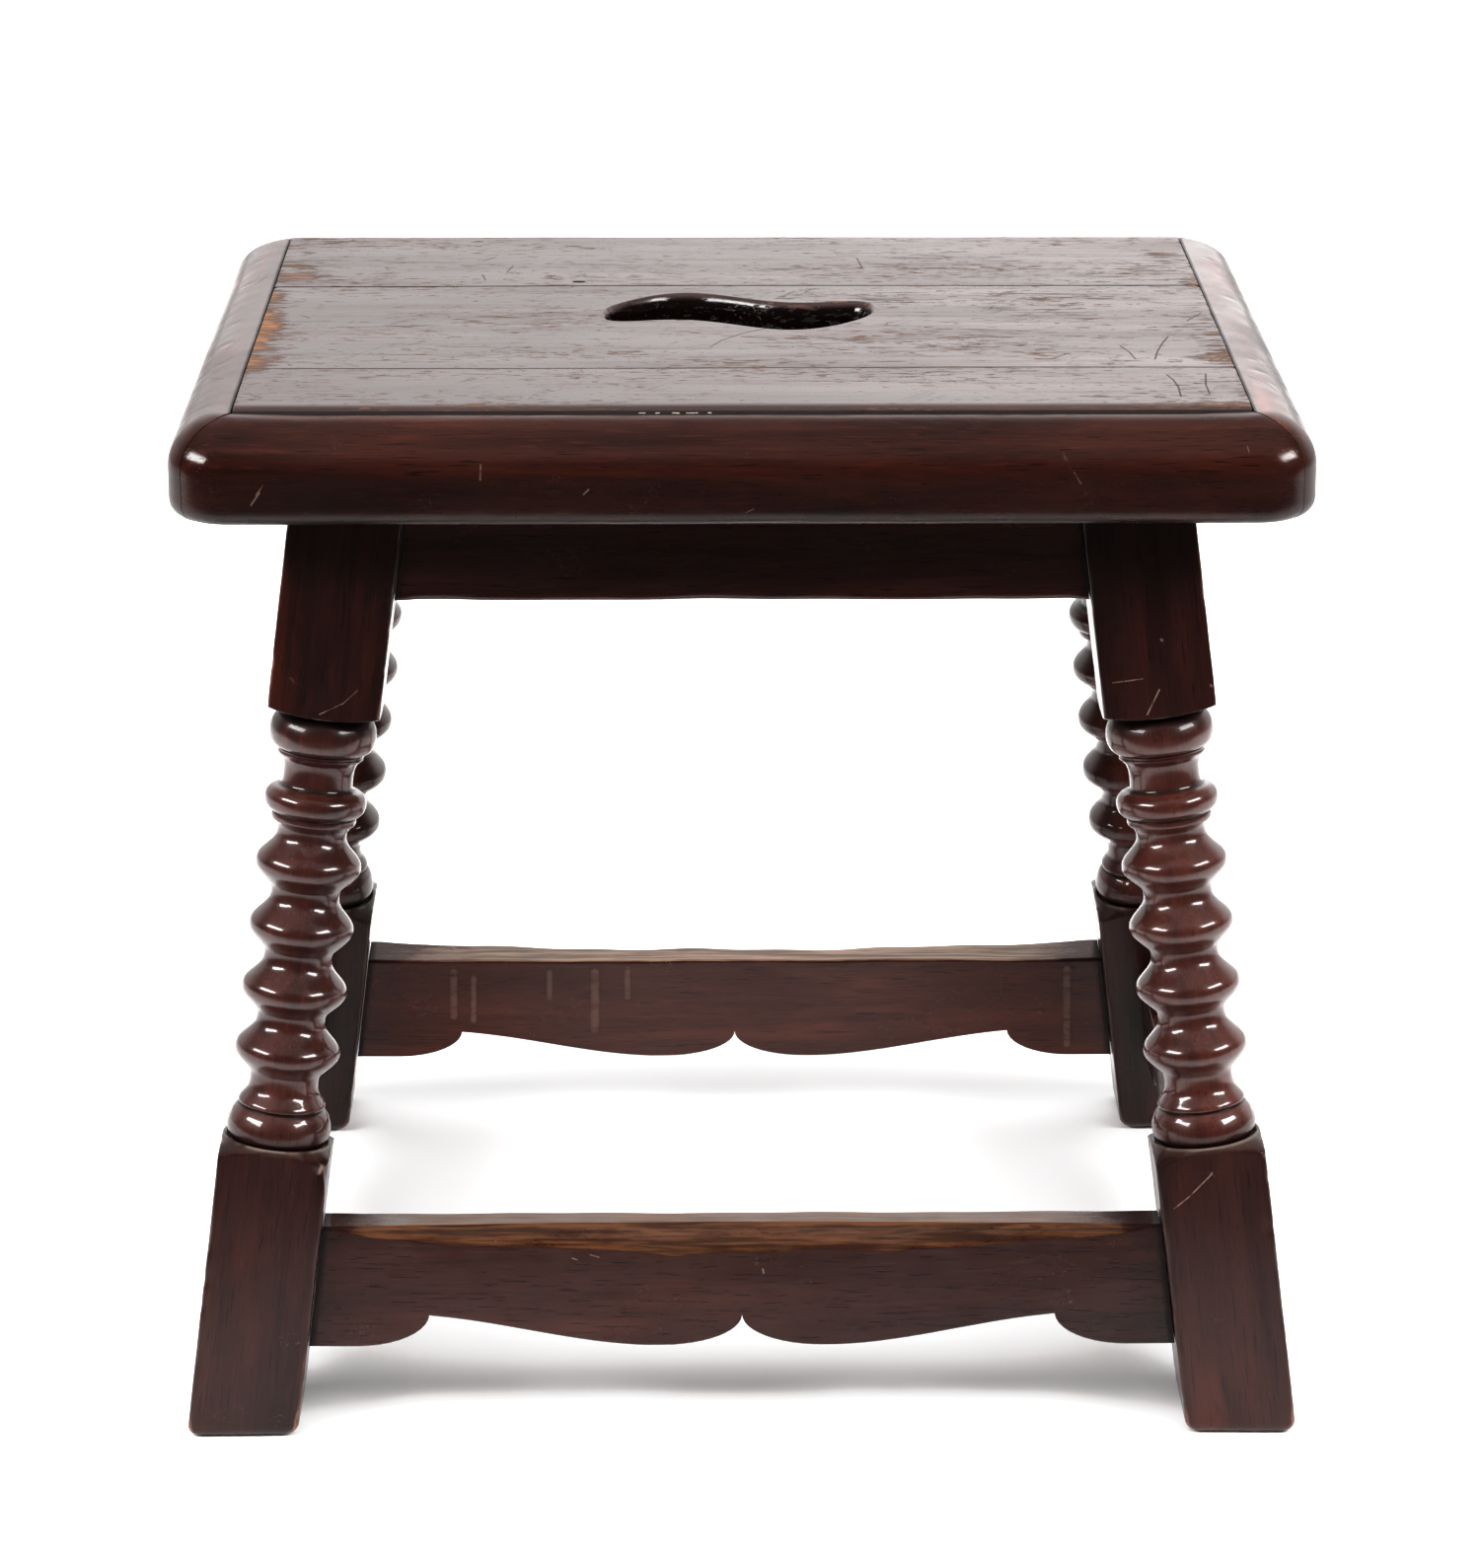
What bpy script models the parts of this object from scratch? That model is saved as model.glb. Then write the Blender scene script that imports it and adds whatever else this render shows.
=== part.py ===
"""Jacobean style joint stool: a boarded seat in a moulded edging, four splayed
turned legs, four aprons under the seat and four scalloped stretchers near the floor.

The origin is on the floor under the middle of the seat. +Z is up, the long side of
the seat runs along X, and the front of the stool faces -Y. Lengths are in metres.
"""

import math

import bmesh
import bpy
from mathutils import Matrix, Vector

# Driving sizes of the whole stool
SEAT_HEIGHT = 0.430
SEAT_WIDTH = 0.450
SEAT_DEPTH = 0.360
SEAT_THICKNESS = 0.042
LEG_SIDE = 0.0452
OVERHANG_X = 0.0456
OVERHANG_Y = 0.0395
SPLAY_X = math.radians(7.35)
SPLAY_Y = math.radians(6.6)
FIT = 0.0003
OVERRUN = 0.010
MERGE_DISTANCE = 0.00001

# Seat edging: a flat margin, a rounded top edge, an upright face and a smaller round below
EDGING_WIDTH = 0.0252
EDGING_TOP_ROUND = 0.020
EDGING_BOTTOM_ROUND = 0.008
EDGING_CORNER_RADIUS = 0.016
CORNER_STEPS = 6
TOP_ROUND_STEPS = 6
BOTTOM_ROUND_STEPS = 3

# Seat boards, which stand proud of the edging and have a rounded front lip
BOARDS_PROUD = 0.0015
MIDDLE_BOARD_DEPTH = 0.1471
FRONT_BOARD_SHARE = 0.3945
BOARD_LIP_ROUND = 0.0025
LIP_STEPS = 3

# Hand hole through the middle board: a blunt oval that sways to and fro in an S
HOLE_LENGTH = 0.109
HOLE_BREADTH = 0.0445
HOLE_SWAY = 0.009
HOLE_WAVE_LENGTH = 0.096
HOLE_OFFSET_Y = 0.026
HOLE_RIM_ROUND = 0.003
HOLE_BLUNTNESS = 2.8
HOLE_POINTS = 40
RIM_STEPS = 3

# Loose tongues that hold board to board and boards to edging
TONGUE_THICKNESS = 0.006
TONGUE_WIDTH = 0.016
TONGUE_STOP = 0.012

# Legs: square blocks above and below a turned length
LOWER_BLOCK_LENGTH = 0.1218
BLOCK_ARRIS = 0.0012
BLOCK_SHOULDER = 0.0016
FOOT_WEAR = 0.003
TURNING_STEPS = 24
SPIGOT_RADIUS = 0.010
SPIGOT_LENGTH = 0.005
SEAM_DROP = 0.001

# Turned members, from the lower block upwards: heights along the leg and radii
CUSHION_HEIGHT = 0.0155
CUSHION_FOOT_RADIUS = 0.0203
CUSHION_RADIUS = 0.0213
CUSHION_BULGE_HEIGHT = 0.0050
SHOULDER_HEIGHT = 0.0063
SHOULDER_RADIUS = 0.0177
LOW_NECK_HEIGHT = 0.0060
NECK_RADIUS = 0.0141
BEAD_COUNT = 4
BEAD_RADIUS = 0.0214
BEAD_FLARE_HEIGHT = 0.0101
BEAD_DOME_HEIGHT = 0.0082
BEAD_COVE_HEIGHT = 0.0040
BEAD_COVE_RADIUS = 0.0162
BEAD_NECK_HEIGHT = 0.0038
BEAD_FLARE_POWER = 1.2
BEAD_DOME_POWER = 1.7
BEAD_COVE_POWER = 0.6
BEAD_STEPS = 3
COVE_STEPS = 2
UPPER_NECK_HEIGHT = 0.0057
COLLAR_HEIGHT = 0.0030
COLLAR_RADIUS = 0.0171
RING_HEIGHT = 0.0108
RING_RADIUS = 0.0207
RING_ROOT_RADIUS = 0.0168
RING_STEPS = 5
TALL_NECK_HEIGHT = 0.0112
TALL_NECK_RADIUS = 0.0144
COVE_HEIGHT = 0.0024
FILLET_HEIGHT = 0.0026
FILLET_RADIUS = 0.0176
CROWN_HEIGHT = 0.0161
CROWN_RADIUS = 0.0219
CROWN_BULGE_SHARE = 0.5
CROWN_TOP_RADIUS = 0.0208
TORUS_STEPS = 3

# Aprons under the seat and stretchers near the floor, both leaning with the legs
APRON_HEIGHT = 0.0400
APRON_THICKNESS = 0.020
APRON_SETBACK = 0.005
STRETCHER_TOP = 0.0880
STRETCHER_HEIGHT = 0.0511
STRETCHER_THICKNESS = 0.021
STRETCHER_SETBACK = 0.008
RAIL_ARRIS = 0.0010
SCALLOP_RISE = 0.0131
LOBE_FLAT_SHARE = 0.42
CUSP_SHARE = 0.728
BELLY_SHARE = 0.185
BELLY_FLAT_SHARE = 0.03
OGEE_STRAIGHTNESS = 0.5
OGEE_POWER = 1.3
SCALLOP_STEPS = 5
OGEE_STEPS = 8
TENON_LENGTH = 0.018
TENON_THICKNESS = 0.008
TENON_ROOT = 0.006
TENON_SHOULDER = 0.006

# Screws that hold the seat down, driven up through the aprons
SCREW_HEAD_RADIUS = 0.0040
SCREW_HEAD_HEIGHT = 0.0028
SCREW_HEAD_RIM = 0.0004
SCREW_RADIUS = 0.0021
SCREW_LENGTH = 0.042
SCREW_TIP_HEIGHT = 0.004
SCREW_TIP_RADIUS = 0.0006
SCREW_SLOT_WIDTH = 0.0012
SCREW_SLOT_DEPTH = 0.0012
SCREW_STEPS = 16
COUNTERBORE_RADIUS = 0.0048
COUNTERBORE_DEPTH = 0.014
LONG_APRON_SCREW_SHARE = 0.58

# Places that follow from the sizes above
UNDERSIDE = SEAT_HEIGHT - SEAT_THICKNESS
EDGING_TOP = SEAT_HEIGHT - BOARDS_PROUD
BOARDS_HALF_X = SEAT_WIDTH / 2 - EDGING_WIDTH
BOARDS_HALF_Y = SEAT_DEPTH / 2 - EDGING_WIDTH
OUTER_BOARDS_DEPTH = BOARDS_HALF_Y * 2 - MIDDLE_BOARD_DEPTH
FRONT_JOINT_Y = OUTER_BOARDS_DEPTH * FRONT_BOARD_SHARE - BOARDS_HALF_Y
BACK_JOINT_Y = FRONT_JOINT_Y + MIDDLE_BOARD_DEPTH
HOLE_Y = (FRONT_JOINT_Y + BACK_JOINT_Y) / 2 + HOLE_OFFSET_Y
TONGUE_Z = UNDERSIDE + (EDGING_TOP - UNDERSIDE) / 2
BEAD_HEIGHT = BEAD_FLARE_HEIGHT + BEAD_DOME_HEIGHT + BEAD_COVE_HEIGHT
BEADS_HEIGHT = BEAD_COUNT * BEAD_HEIGHT + (BEAD_COUNT - 1) * BEAD_NECK_HEIGHT
CUSHION_TOP = LOWER_BLOCK_LENGTH + CUSHION_HEIGHT
SHOULDER_TOP = CUSHION_TOP + SHOULDER_HEIGHT
BEADS_START = SHOULDER_TOP + LOW_NECK_HEIGHT
RING_START = BEADS_START + BEADS_HEIGHT + UPPER_NECK_HEIGHT + COLLAR_HEIGHT
CROWN_START = RING_START + RING_HEIGHT + TALL_NECK_HEIGHT + COVE_HEIGHT + FILLET_HEIGHT
UPPER_BLOCK_START = CROWN_START + CROWN_HEIGHT
TAN_X = math.tan(SPLAY_X)
TAN_Y = math.tan(SPLAY_Y)
REACH_X = SEAT_WIDTH / 2 - OVERHANG_X + UNDERSIDE * TAN_X
REACH_Y = SEAT_DEPTH / 2 - OVERHANG_Y + UNDERSIDE * TAN_Y
FOOT_X = REACH_X - LEG_SIDE / 2 / math.cos(SPLAY_X)
FOOT_Y = REACH_Y - LEG_SIDE / 2 / math.cos(SPLAY_Y)
UP = Vector((0, 0, 1))

# The four sides of the stool: outward direction, splay and reach at the floor
SIDES = {
    "front": (Vector((0, -1, 0)), TAN_Y, REACH_Y),
    "back": (Vector((0, 1, 0)), TAN_Y, REACH_Y),
    "left": (Vector((-1, 0, 0)), TAN_X, REACH_X),
    "right": (Vector((1, 0, 0)), TAN_X, REACH_X),
}
LEGS = {
    "front_left": (-1, -1),
    "front_right": (1, -1),
    "back_left": (-1, 1),
    "back_right": (1, 1),
}


def clear_scene():
    """Empties the file that the stool is built in."""
    for item in list(bpy.data.objects):
        bpy.data.objects.remove(item)


def new_collection(name):
    collection = bpy.data.collections.new(name)
    bpy.context.scene.collection.children.link(collection)
    return collection


def material(name, colour, roughness, metallic=0.0):
    made = bpy.data.materials.new(name)
    made.use_nodes = True
    shader = made.node_tree.nodes["Principled BSDF"]
    shader.inputs["Base Color"].default_value = (*colour, 1.0)
    shader.inputs["Roughness"].default_value = roughness
    shader.inputs["Metallic"].default_value = metallic
    return made


def place(name, mesh, finish, matrix=None):
    """Puts a mesh in the stool's collection as one named piece."""
    piece = bpy.data.objects.new(name, mesh)
    if matrix is not None:
        piece.matrix_world = matrix
    piece.data.materials.append(finish)
    STOOL.objects.link(piece)
    return piece


def place_guide(name, mesh, matrix=None):
    """Puts a mesh in the hidden collection of cutters and joined blocks."""
    guide = bpy.data.objects.new(name, mesh)
    if matrix is not None:
        guide.matrix_world = matrix
    guide.hide_render = True
    guide.display_type = "WIRE"
    GUIDES.objects.link(guide)
    return guide


def combine(piece, other, operation):
    boolean = piece.modifiers.new(other.name, "BOOLEAN")
    boolean.operation = operation
    boolean.object = other
    boolean.solver = "EXACT"


def finish_mesh(name, shape):
    mesh = bpy.data.meshes.new(name)
    bmesh.ops.recalc_face_normals(shape, faces=shape.faces)
    shape.to_mesh(mesh)
    shape.free()
    return mesh


def box(low, high):
    """A bmesh box between two corners."""
    shape = bmesh.new()
    bmesh.ops.create_cube(shape, size=1.0)
    size = Vector(high) - Vector(low)
    middle = (Vector(high) + Vector(low)) / 2
    bmesh.ops.scale(shape, vec=size, verts=shape.verts)
    bmesh.ops.translate(shape, vec=middle, verts=shape.verts)
    return shape


def trim(shape, point, normal):
    """Cuts away what lies on the normal's side of a plane and closes the cut."""
    everything = list(shape.verts) + list(shape.edges) + list(shape.faces)
    cut = bmesh.ops.bisect_plane(
        shape, geom=everything, plane_co=point, plane_no=normal, clear_outer=True
    )
    rim = [item for item in cut["geom_cut"] if isinstance(item, bmesh.types.BMEdge)]
    bmesh.ops.edgeloop_fill(shape, edges=rim)


def round_edges(shape, chosen, radius, steps=1):
    edges = [edge for edge in shape.edges if chosen(edge)]
    bmesh.ops.bevel(
        shape, geom=edges, offset=radius, segments=steps, profile=0.5, affect="EDGES"
    )


def extrude_outline(outline, near, far):
    """A solid whose outline in X and Z runs from Y near to Y far."""
    shape = bmesh.new()
    corners = [shape.verts.new((x, near, z)) for x, z in outline]
    face = shape.faces.new(corners)
    grown = bmesh.ops.extrude_face_region(shape, geom=[face])
    moved = [item for item in grown["geom"] if isinstance(item, bmesh.types.BMVert)]
    bmesh.ops.translate(shape, vec=(0, far - near, 0), verts=moved)
    return shape


def loft(rings):
    """A closed solid through a stack of rings with equal numbers of points."""
    shape = bmesh.new()
    rows = [[shape.verts.new(point) for point in ring] for ring in rings]
    for lower, upper in zip(rows, rows[1:]):
        for index in range(len(lower)):
            following = (index + 1) % len(lower)
            shape.faces.new(
                (lower[index], lower[following], upper[following], upper[index])
            )
    shape.faces.new(list(reversed(rows[0])))
    shape.faces.new(rows[-1])
    return shape


# Seat


def rounded_rectangle(half_x, half_y, radius, z):
    """Points round a rectangle with arcs at its corners, counter-clockwise."""
    points = []
    for quarter, (side_x, side_y) in enumerate(((1, 1), (-1, 1), (-1, -1), (1, -1))):
        for step in range(CORNER_STEPS + 1):
            angle = math.pi / 2 * (quarter + step / CORNER_STEPS)
            x = side_x * (half_x - radius) + radius * math.cos(angle)
            y = side_y * (half_y - radius) + radius * math.sin(angle)
            points.append((x, y, z))
    return points


def edging_sections():
    """Inset from the outer face and height of each section, from below upwards."""
    sections = []
    for step in range(BOTTOM_ROUND_STEPS + 1):
        angle = math.pi / 2 * step / BOTTOM_ROUND_STEPS
        inset = EDGING_BOTTOM_ROUND * (1 - math.sin(angle))
        height = UNDERSIDE + EDGING_BOTTOM_ROUND * (1 - math.cos(angle))
        sections.append((inset, height))
    for step in range(TOP_ROUND_STEPS + 1):
        angle = math.pi / 2 * step / TOP_ROUND_STEPS
        inset = EDGING_TOP_ROUND * (1 - math.cos(angle))
        height = EDGING_TOP - EDGING_TOP_ROUND * (1 - math.sin(angle))
        sections.append((inset, height))
    return sections


def edging_slab():
    """The whole moulded slab, which the four edgings are cut from."""
    rings = []
    for inset, height in edging_sections():
        radius = max(EDGING_CORNER_RADIUS - inset, FIT)
        half_x = SEAT_WIDTH / 2 - inset
        half_y = SEAT_DEPTH / 2 - inset
        rings.append(rounded_rectangle(half_x, half_y, radius, height))
    return finish_mesh("edging_slab", loft(rings))


def mitred_prism(side):
    """The plan of one edging: a strip with mitred ends, taller than the slab."""
    outward = SIDES[side][0]
    along = outward.cross(UP)
    lengthwise = abs(along.x) > abs(along.y)
    inner = (BOARDS_HALF_Y if lengthwise else BOARDS_HALF_X) + FIT
    half = (BOARDS_HALF_X if lengthwise else BOARDS_HALF_Y) + FIT
    mitre_gap = FIT / 2 * math.sqrt(2)
    run = EDGING_WIDTH + OVERRUN
    plan = (
        along * (half - mitre_gap) + outward * inner,
        along * (half + run - mitre_gap) + outward * (inner + run),
        -along * (half + run - mitre_gap) + outward * (inner + run),
        -along * (half - mitre_gap) + outward * inner,
    )
    low = UP * (UNDERSIDE - OVERRUN)
    high = UP * (SEAT_HEIGHT + OVERRUN)
    return finish_mesh(
        "plan_" + side, loft([[p + low for p in plan], [p + high for p in plan]])
    )


def tongue_span(side):
    """Low and high corners of the tongue between the boards and one edging."""
    outward = SIDES[side][0]
    along = outward.cross(UP)
    lengthwise = abs(along.x) > abs(along.y)
    seam = (BOARDS_HALF_Y if lengthwise else BOARDS_HALF_X) + FIT / 2
    half = (BOARDS_HALF_X if lengthwise else BOARDS_HALF_Y) - TONGUE_STOP
    reach = Vector((abs(along.x), abs(along.y), 0)) * half
    across = Vector((abs(outward.x), abs(outward.y), 0)) * (TONGUE_WIDTH / 2)
    middle = outward * seam + UP * TONGUE_Z
    spread = reach + across + UP * (TONGUE_THICKNESS / 2)
    return middle - spread, middle + spread


def board_tongue_span(joint_y):
    """Low and high corners of the tongue between two boards."""
    half_x = BOARDS_HALF_X - TONGUE_STOP
    middle = Vector((0, joint_y, TONGUE_Z))
    spread = Vector((half_x, TONGUE_WIDTH / 2, TONGUE_THICKNESS / 2))
    return middle - spread, middle + spread


def grown_box(name, span):
    """A groove's cutter: the tongue's box with the fit all round it."""
    slack = Vector((FIT, FIT, FIT))
    return place_guide(name, finish_mesh(name, box(span[0] - slack, span[1] + slack)))


def hole_ring(grow, z):
    """The hand hole's outline, grown outwards, at one height."""
    points = []
    for index in range(HOLE_POINTS):
        angle = 2 * math.pi * index / HOLE_POINTS
        cosine, sine = math.cos(angle), math.sin(angle)
        power = 2 / HOLE_BLUNTNESS
        x = (HOLE_LENGTH / 2 + grow) * math.copysign(abs(cosine) ** power, cosine)
        y = (HOLE_BREADTH / 2 + grow) * math.copysign(abs(sine) ** power, sine)
        sway = -HOLE_SWAY * math.sin(2 * math.pi * x / HOLE_WAVE_LENGTH)
        points.append((x, y + sway + HOLE_Y, z))
    return points


def hand_hole_cutter():
    """A straight cutter that flares at both faces of the board."""
    rings = [hole_ring(HOLE_RIM_ROUND, UNDERSIDE - OVERRUN)]
    for step in range(RIM_STEPS + 1):
        angle = math.pi / 2 * step / RIM_STEPS
        rings.append(
            hole_ring(
                HOLE_RIM_ROUND * (1 - math.sin(angle)),
                UNDERSIDE + HOLE_RIM_ROUND * (1 - math.cos(angle)),
            )
        )
    for step in range(RIM_STEPS + 1):
        angle = math.pi / 2 * step / RIM_STEPS
        rings.append(
            hole_ring(
                HOLE_RIM_ROUND * (1 - math.cos(angle)),
                SEAT_HEIGHT - HOLE_RIM_ROUND * (1 - math.sin(angle)),
            )
        )
    rings.append(hole_ring(HOLE_RIM_ROUND, SEAT_HEIGHT + OVERRUN))
    return place_guide("hand_hole", finish_mesh("hand_hole", loft(rings)))


def build_edging():
    slab = edging_slab()
    for side in SIDES:
        edging = place("seat_edging_" + side, slab.copy(), EDGING_WOOD)
        combine(edging, place_guide("plan_" + side, mitred_prism(side)), "INTERSECT")
        combine(edging, EDGING_GROOVES[side], "DIFFERENCE")


def board_shape(near, far):
    """A board between two Y positions, its top edge rounded beside a long edging."""
    shape = box((-BOARDS_HALF_X, near, UNDERSIDE), (BOARDS_HALF_X, far, SEAT_HEIGHT))

    def on_lip(edge):
        ends = [vertex.co for vertex in edge.verts]
        top = all(abs(end.z - SEAT_HEIGHT) < FIT for end in ends)
        return top and all(abs(abs(end.y) - BOARDS_HALF_Y) < FIT for end in ends)

    round_edges(shape, on_lip, BOARD_LIP_ROUND, LIP_STEPS)
    return shape


def build_boards():
    """Three boards, edge to edge, with grooves for the tongues all round."""
    spans = {
        "seat_board_back": (BACK_JOINT_Y + FIT / 2, BOARDS_HALF_Y),
        "seat_board_middle": (FRONT_JOINT_Y + FIT / 2, BACK_JOINT_Y - FIT / 2),
        "seat_board_front": (-BOARDS_HALF_Y, FRONT_JOINT_Y - FIT / 2),
    }
    boards = {}
    for name, (near, far) in spans.items():
        mesh = finish_mesh(name, board_shape(near, far))
        boards[name] = place(name, mesh, BOARD_WOOD)
        for side in ("left", "right"):
            combine(boards[name], EDGING_GROOVES[side], "DIFFERENCE")
    combine(boards["seat_board_back"], EDGING_GROOVES["back"], "DIFFERENCE")
    combine(boards["seat_board_front"], EDGING_GROOVES["front"], "DIFFERENCE")
    for name in ("seat_board_back", "seat_board_middle"):
        combine(boards[name], BOARD_GROOVES["back"], "DIFFERENCE")
    for name in ("seat_board_middle", "seat_board_front"):
        combine(boards[name], BOARD_GROOVES["front"], "DIFFERENCE")
    combine(boards["seat_board_middle"], hand_hole_cutter(), "DIFFERENCE")
    return boards


def build_tongues():
    for side in SIDES:
        name = "edging_tongue_" + side
        place(name, finish_mesh(name, box(*tongue_span(side))), HIDDEN_WOOD)
    for joint, joint_y in (("back", BACK_JOINT_Y), ("front", FRONT_JOINT_Y)):
        name = "board_tongue_" + joint
        place(name, finish_mesh(name, box(*board_tongue_span(joint_y))), HIDDEN_WOOD)


# Legs


def leg_frame(side_x, side_y):
    """The frame of a leg: its origin is the foot's middle and its Z is the leg's axis."""
    axis = Vector((-side_x * TAN_X, -side_y * TAN_Y, 1)).normalized()
    across = Vector((1, 0, side_x * TAN_X)).normalized()
    inward = axis.cross(across)
    turn = Matrix((across, inward, axis)).transposed().to_4x4()
    foot = Vector((side_x * FOOT_X, side_y * FOOT_Y, 0))
    return Matrix.Translation(foot) @ turn


def arc_between(start, end, power, steps):
    """Points from (radius, height) start to end; the radius falls as share ** power."""
    points = []
    for step in range(1, steps + 1):
        share = step / steps
        radius = start[0] + (end[0] - start[0]) * share**power
        points.append((radius, start[1] + (end[1] - start[1]) * share))
    return points


def swell(low, high, radius, root, steps):
    """A half-round member between two heights, with its root radius at both ends."""
    points = []
    for step in range(steps + 1):
        angle = math.pi * step / steps
        height = low + (high - low) * (1 - math.cos(angle)) / 2
        points.append((root + (radius - root) * math.sin(angle), height))
    return points


def turned_profile():
    """Radius and height of the turned length, from the lower block to the upper one."""
    base = LOWER_BLOCK_LENGTH
    points = [
        (0, base - SPIGOT_LENGTH),
        (SPIGOT_RADIUS, base - SPIGOT_LENGTH),
        (CUSHION_FOOT_RADIUS, base - SEAM_DROP),
        (CUSHION_RADIUS, base + CUSHION_BULGE_HEIGHT),
    ]
    points += arc_between(points[-1], (SHOULDER_RADIUS, CUSHION_TOP), 2, TORUS_STEPS)
    points += arc_between(points[-1], (NECK_RADIUS, SHOULDER_TOP), 2, TORUS_STEPS)
    points.append((NECK_RADIUS, BEADS_START))
    for bead in range(BEAD_COUNT):
        height = BEADS_START + bead * (BEAD_HEIGHT + BEAD_NECK_HEIGHT)
        widest = (BEAD_RADIUS, height + BEAD_FLARE_HEIGHT)
        flare = arc_between(widest, (NECK_RADIUS, height), BEAD_FLARE_POWER, BEAD_STEPS)
        points += list(reversed(flare[:-1]))
        points.append(widest)
        dome_end = (BEAD_COVE_RADIUS, widest[1] + BEAD_DOME_HEIGHT)
        points += arc_between(widest, dome_end, BEAD_DOME_POWER, BEAD_STEPS)
        cove_end = (NECK_RADIUS, height + BEAD_HEIGHT)
        points += arc_between(dome_end, cove_end, BEAD_COVE_POWER, COVE_STEPS)
        neck = BEAD_NECK_HEIGHT if bead < BEAD_COUNT - 1 else UPPER_NECK_HEIGHT
        points.append((NECK_RADIUS, height + BEAD_HEIGHT + neck))
    ring_top = RING_START + RING_HEIGHT
    cove_start = ring_top + TALL_NECK_HEIGHT
    points.append((COLLAR_RADIUS, RING_START - COLLAR_HEIGHT))
    points += swell(RING_START, ring_top, RING_RADIUS, RING_ROOT_RADIUS, RING_STEPS)
    points.append((TALL_NECK_RADIUS, ring_top))
    points.append((TALL_NECK_RADIUS, cove_start))
    points.append((FILLET_RADIUS, cove_start + COVE_HEIGHT))
    points.append((FILLET_RADIUS, CROWN_START))
    crown = CROWN_START + CROWN_HEIGHT * CROWN_BULGE_SHARE
    foot = (FILLET_RADIUS, CROWN_START)
    rising = arc_between((CROWN_RADIUS, crown), foot, 2, TORUS_STEPS)
    points += list(reversed(rising[:-1]))
    points.append((CROWN_RADIUS, crown))
    points.append((CROWN_TOP_RADIUS, UPPER_BLOCK_START + SEAM_DROP))
    points.append((SPIGOT_RADIUS, UPPER_BLOCK_START + SPIGOT_LENGTH))
    points.append((0, UPPER_BLOCK_START + SPIGOT_LENGTH))
    return points


def profile_mesh(name, points):
    """A chain of edges at +X that runs from the top of the profile to its bottom."""
    mesh = bpy.data.meshes.new(name)
    vertices = [(radius, 0, height) for radius, height in reversed(points)]
    edges = [(index, index + 1) for index in range(len(vertices) - 1)]
    mesh.from_pydata(vertices, edges, [])
    return mesh


def spin(piece, steps):
    """Turns a profile round the piece's own Z axis."""
    screw = piece.modifiers.new("turning", "SCREW")
    screw.axis = "Z"
    screw.angle = 2 * math.pi
    screw.steps = steps
    screw.render_steps = steps
    screw.use_merge_vertices = True
    screw.merge_threshold = MERGE_DISTANCE
    screw.use_smooth_shade = True


def leg_block(frame, low, high, cut_height, cut_up, end_height):
    """One square block in the leg's own frame, cut level at cut_height in the world."""
    half = LEG_SIDE / 2
    shape = box((-half, -half, low), (half, half, high))
    to_leg = frame.inverted()
    normal = to_leg.to_3x3() @ (UP * cut_up)
    trim(shape, to_leg @ Vector((0, 0, cut_height)), normal)

    def upright(edge):
        return abs(edge.verts[0].co.z - edge.verts[1].co.z) > LEG_SIDE / 2

    round_edges(shape, upright, BLOCK_ARRIS)

    def at_turned_end(edge):
        return all(abs(v.co.z - end_height) < FIT for v in edge.verts)

    round_edges(shape, at_turned_end, BLOCK_SHOULDER)
    return shape


def foot_edge(frame):
    """Whether an edge lies on the floor under the leg of this frame."""

    def on_floor(edge):
        return all(abs((frame @ v.co).z) < FIT for v in edge.verts)

    return on_floor


def build_legs():
    legs = {}
    profile = profile_mesh("turned_profile", turned_profile())
    for corner, (side_x, side_y) in LEGS.items():
        frame = leg_frame(side_x, side_y)
        leg = place("leg_" + corner, profile.copy(), LEG_WOOD, frame)
        spin(leg, TURNING_STEPS)
        lower = leg_block(frame, -OVERRUN, LOWER_BLOCK_LENGTH, 0, -1, LOWER_BLOCK_LENGTH)
        round_edges(lower, foot_edge(frame), FOOT_WEAR)
        upper = leg_block(
            frame, UPPER_BLOCK_START, SEAT_HEIGHT, UNDERSIDE - FIT, 1, UPPER_BLOCK_START
        )
        for end, shape in (("lower", lower), ("upper", upper)):
            name = end + "_block_" + corner
            combine(leg, place_guide(name, finish_mesh(name, shape), frame), "UNION")
        legs[corner] = leg
    return legs


# Aprons and stretchers


def rail_frame(side):
    """The frame of a rail: Y = 0 is the legs' outer face, Y grows inwards, Z leans."""
    outward, lean, reach = SIDES[side]
    rise = (UP - outward * lean).normalized()
    inward = -(outward + UP * lean).normalized()
    along = inward.cross(rise)
    turn = Matrix((along, inward, rise)).transposed().to_4x4()
    return Matrix.Translation(outward * reach) @ turn


def leg_faces(side):
    """Point and outward normal of the two leg faces that a rail butts against."""
    along = rail_frame(side).to_3x3().col[0]
    faces = []
    for side_x, side_y in LEGS.values():
        spot = Vector((side_x, side_y, 0))
        if spot.dot(SIDES[side][0]) < 0:
            continue
        frame = leg_frame(side_x, side_y)
        towards = math.copysign(1, spot.dot(along))
        column = 0 if abs(along.x) > abs(along.y) else 1
        normal = frame.to_3x3().col[column].normalized()
        normal *= math.copysign(1, normal.dot(along) * towards)
        faces.append((frame.translation - normal * (LEG_SIDE / 2), normal, towards))
    return faces


def inner_reach(side, height):
    """Distance from the rail's middle to the leg's inner face, at a leaning height."""
    frame = rail_frame(side)
    point, normal, towards = leg_faces(side)[0]
    origin = frame @ Vector((0, LEG_SIDE / 2, height))
    along = frame.to_3x3().col[0] * towards
    return normal.dot(point - origin) / normal.dot(along)


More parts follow.
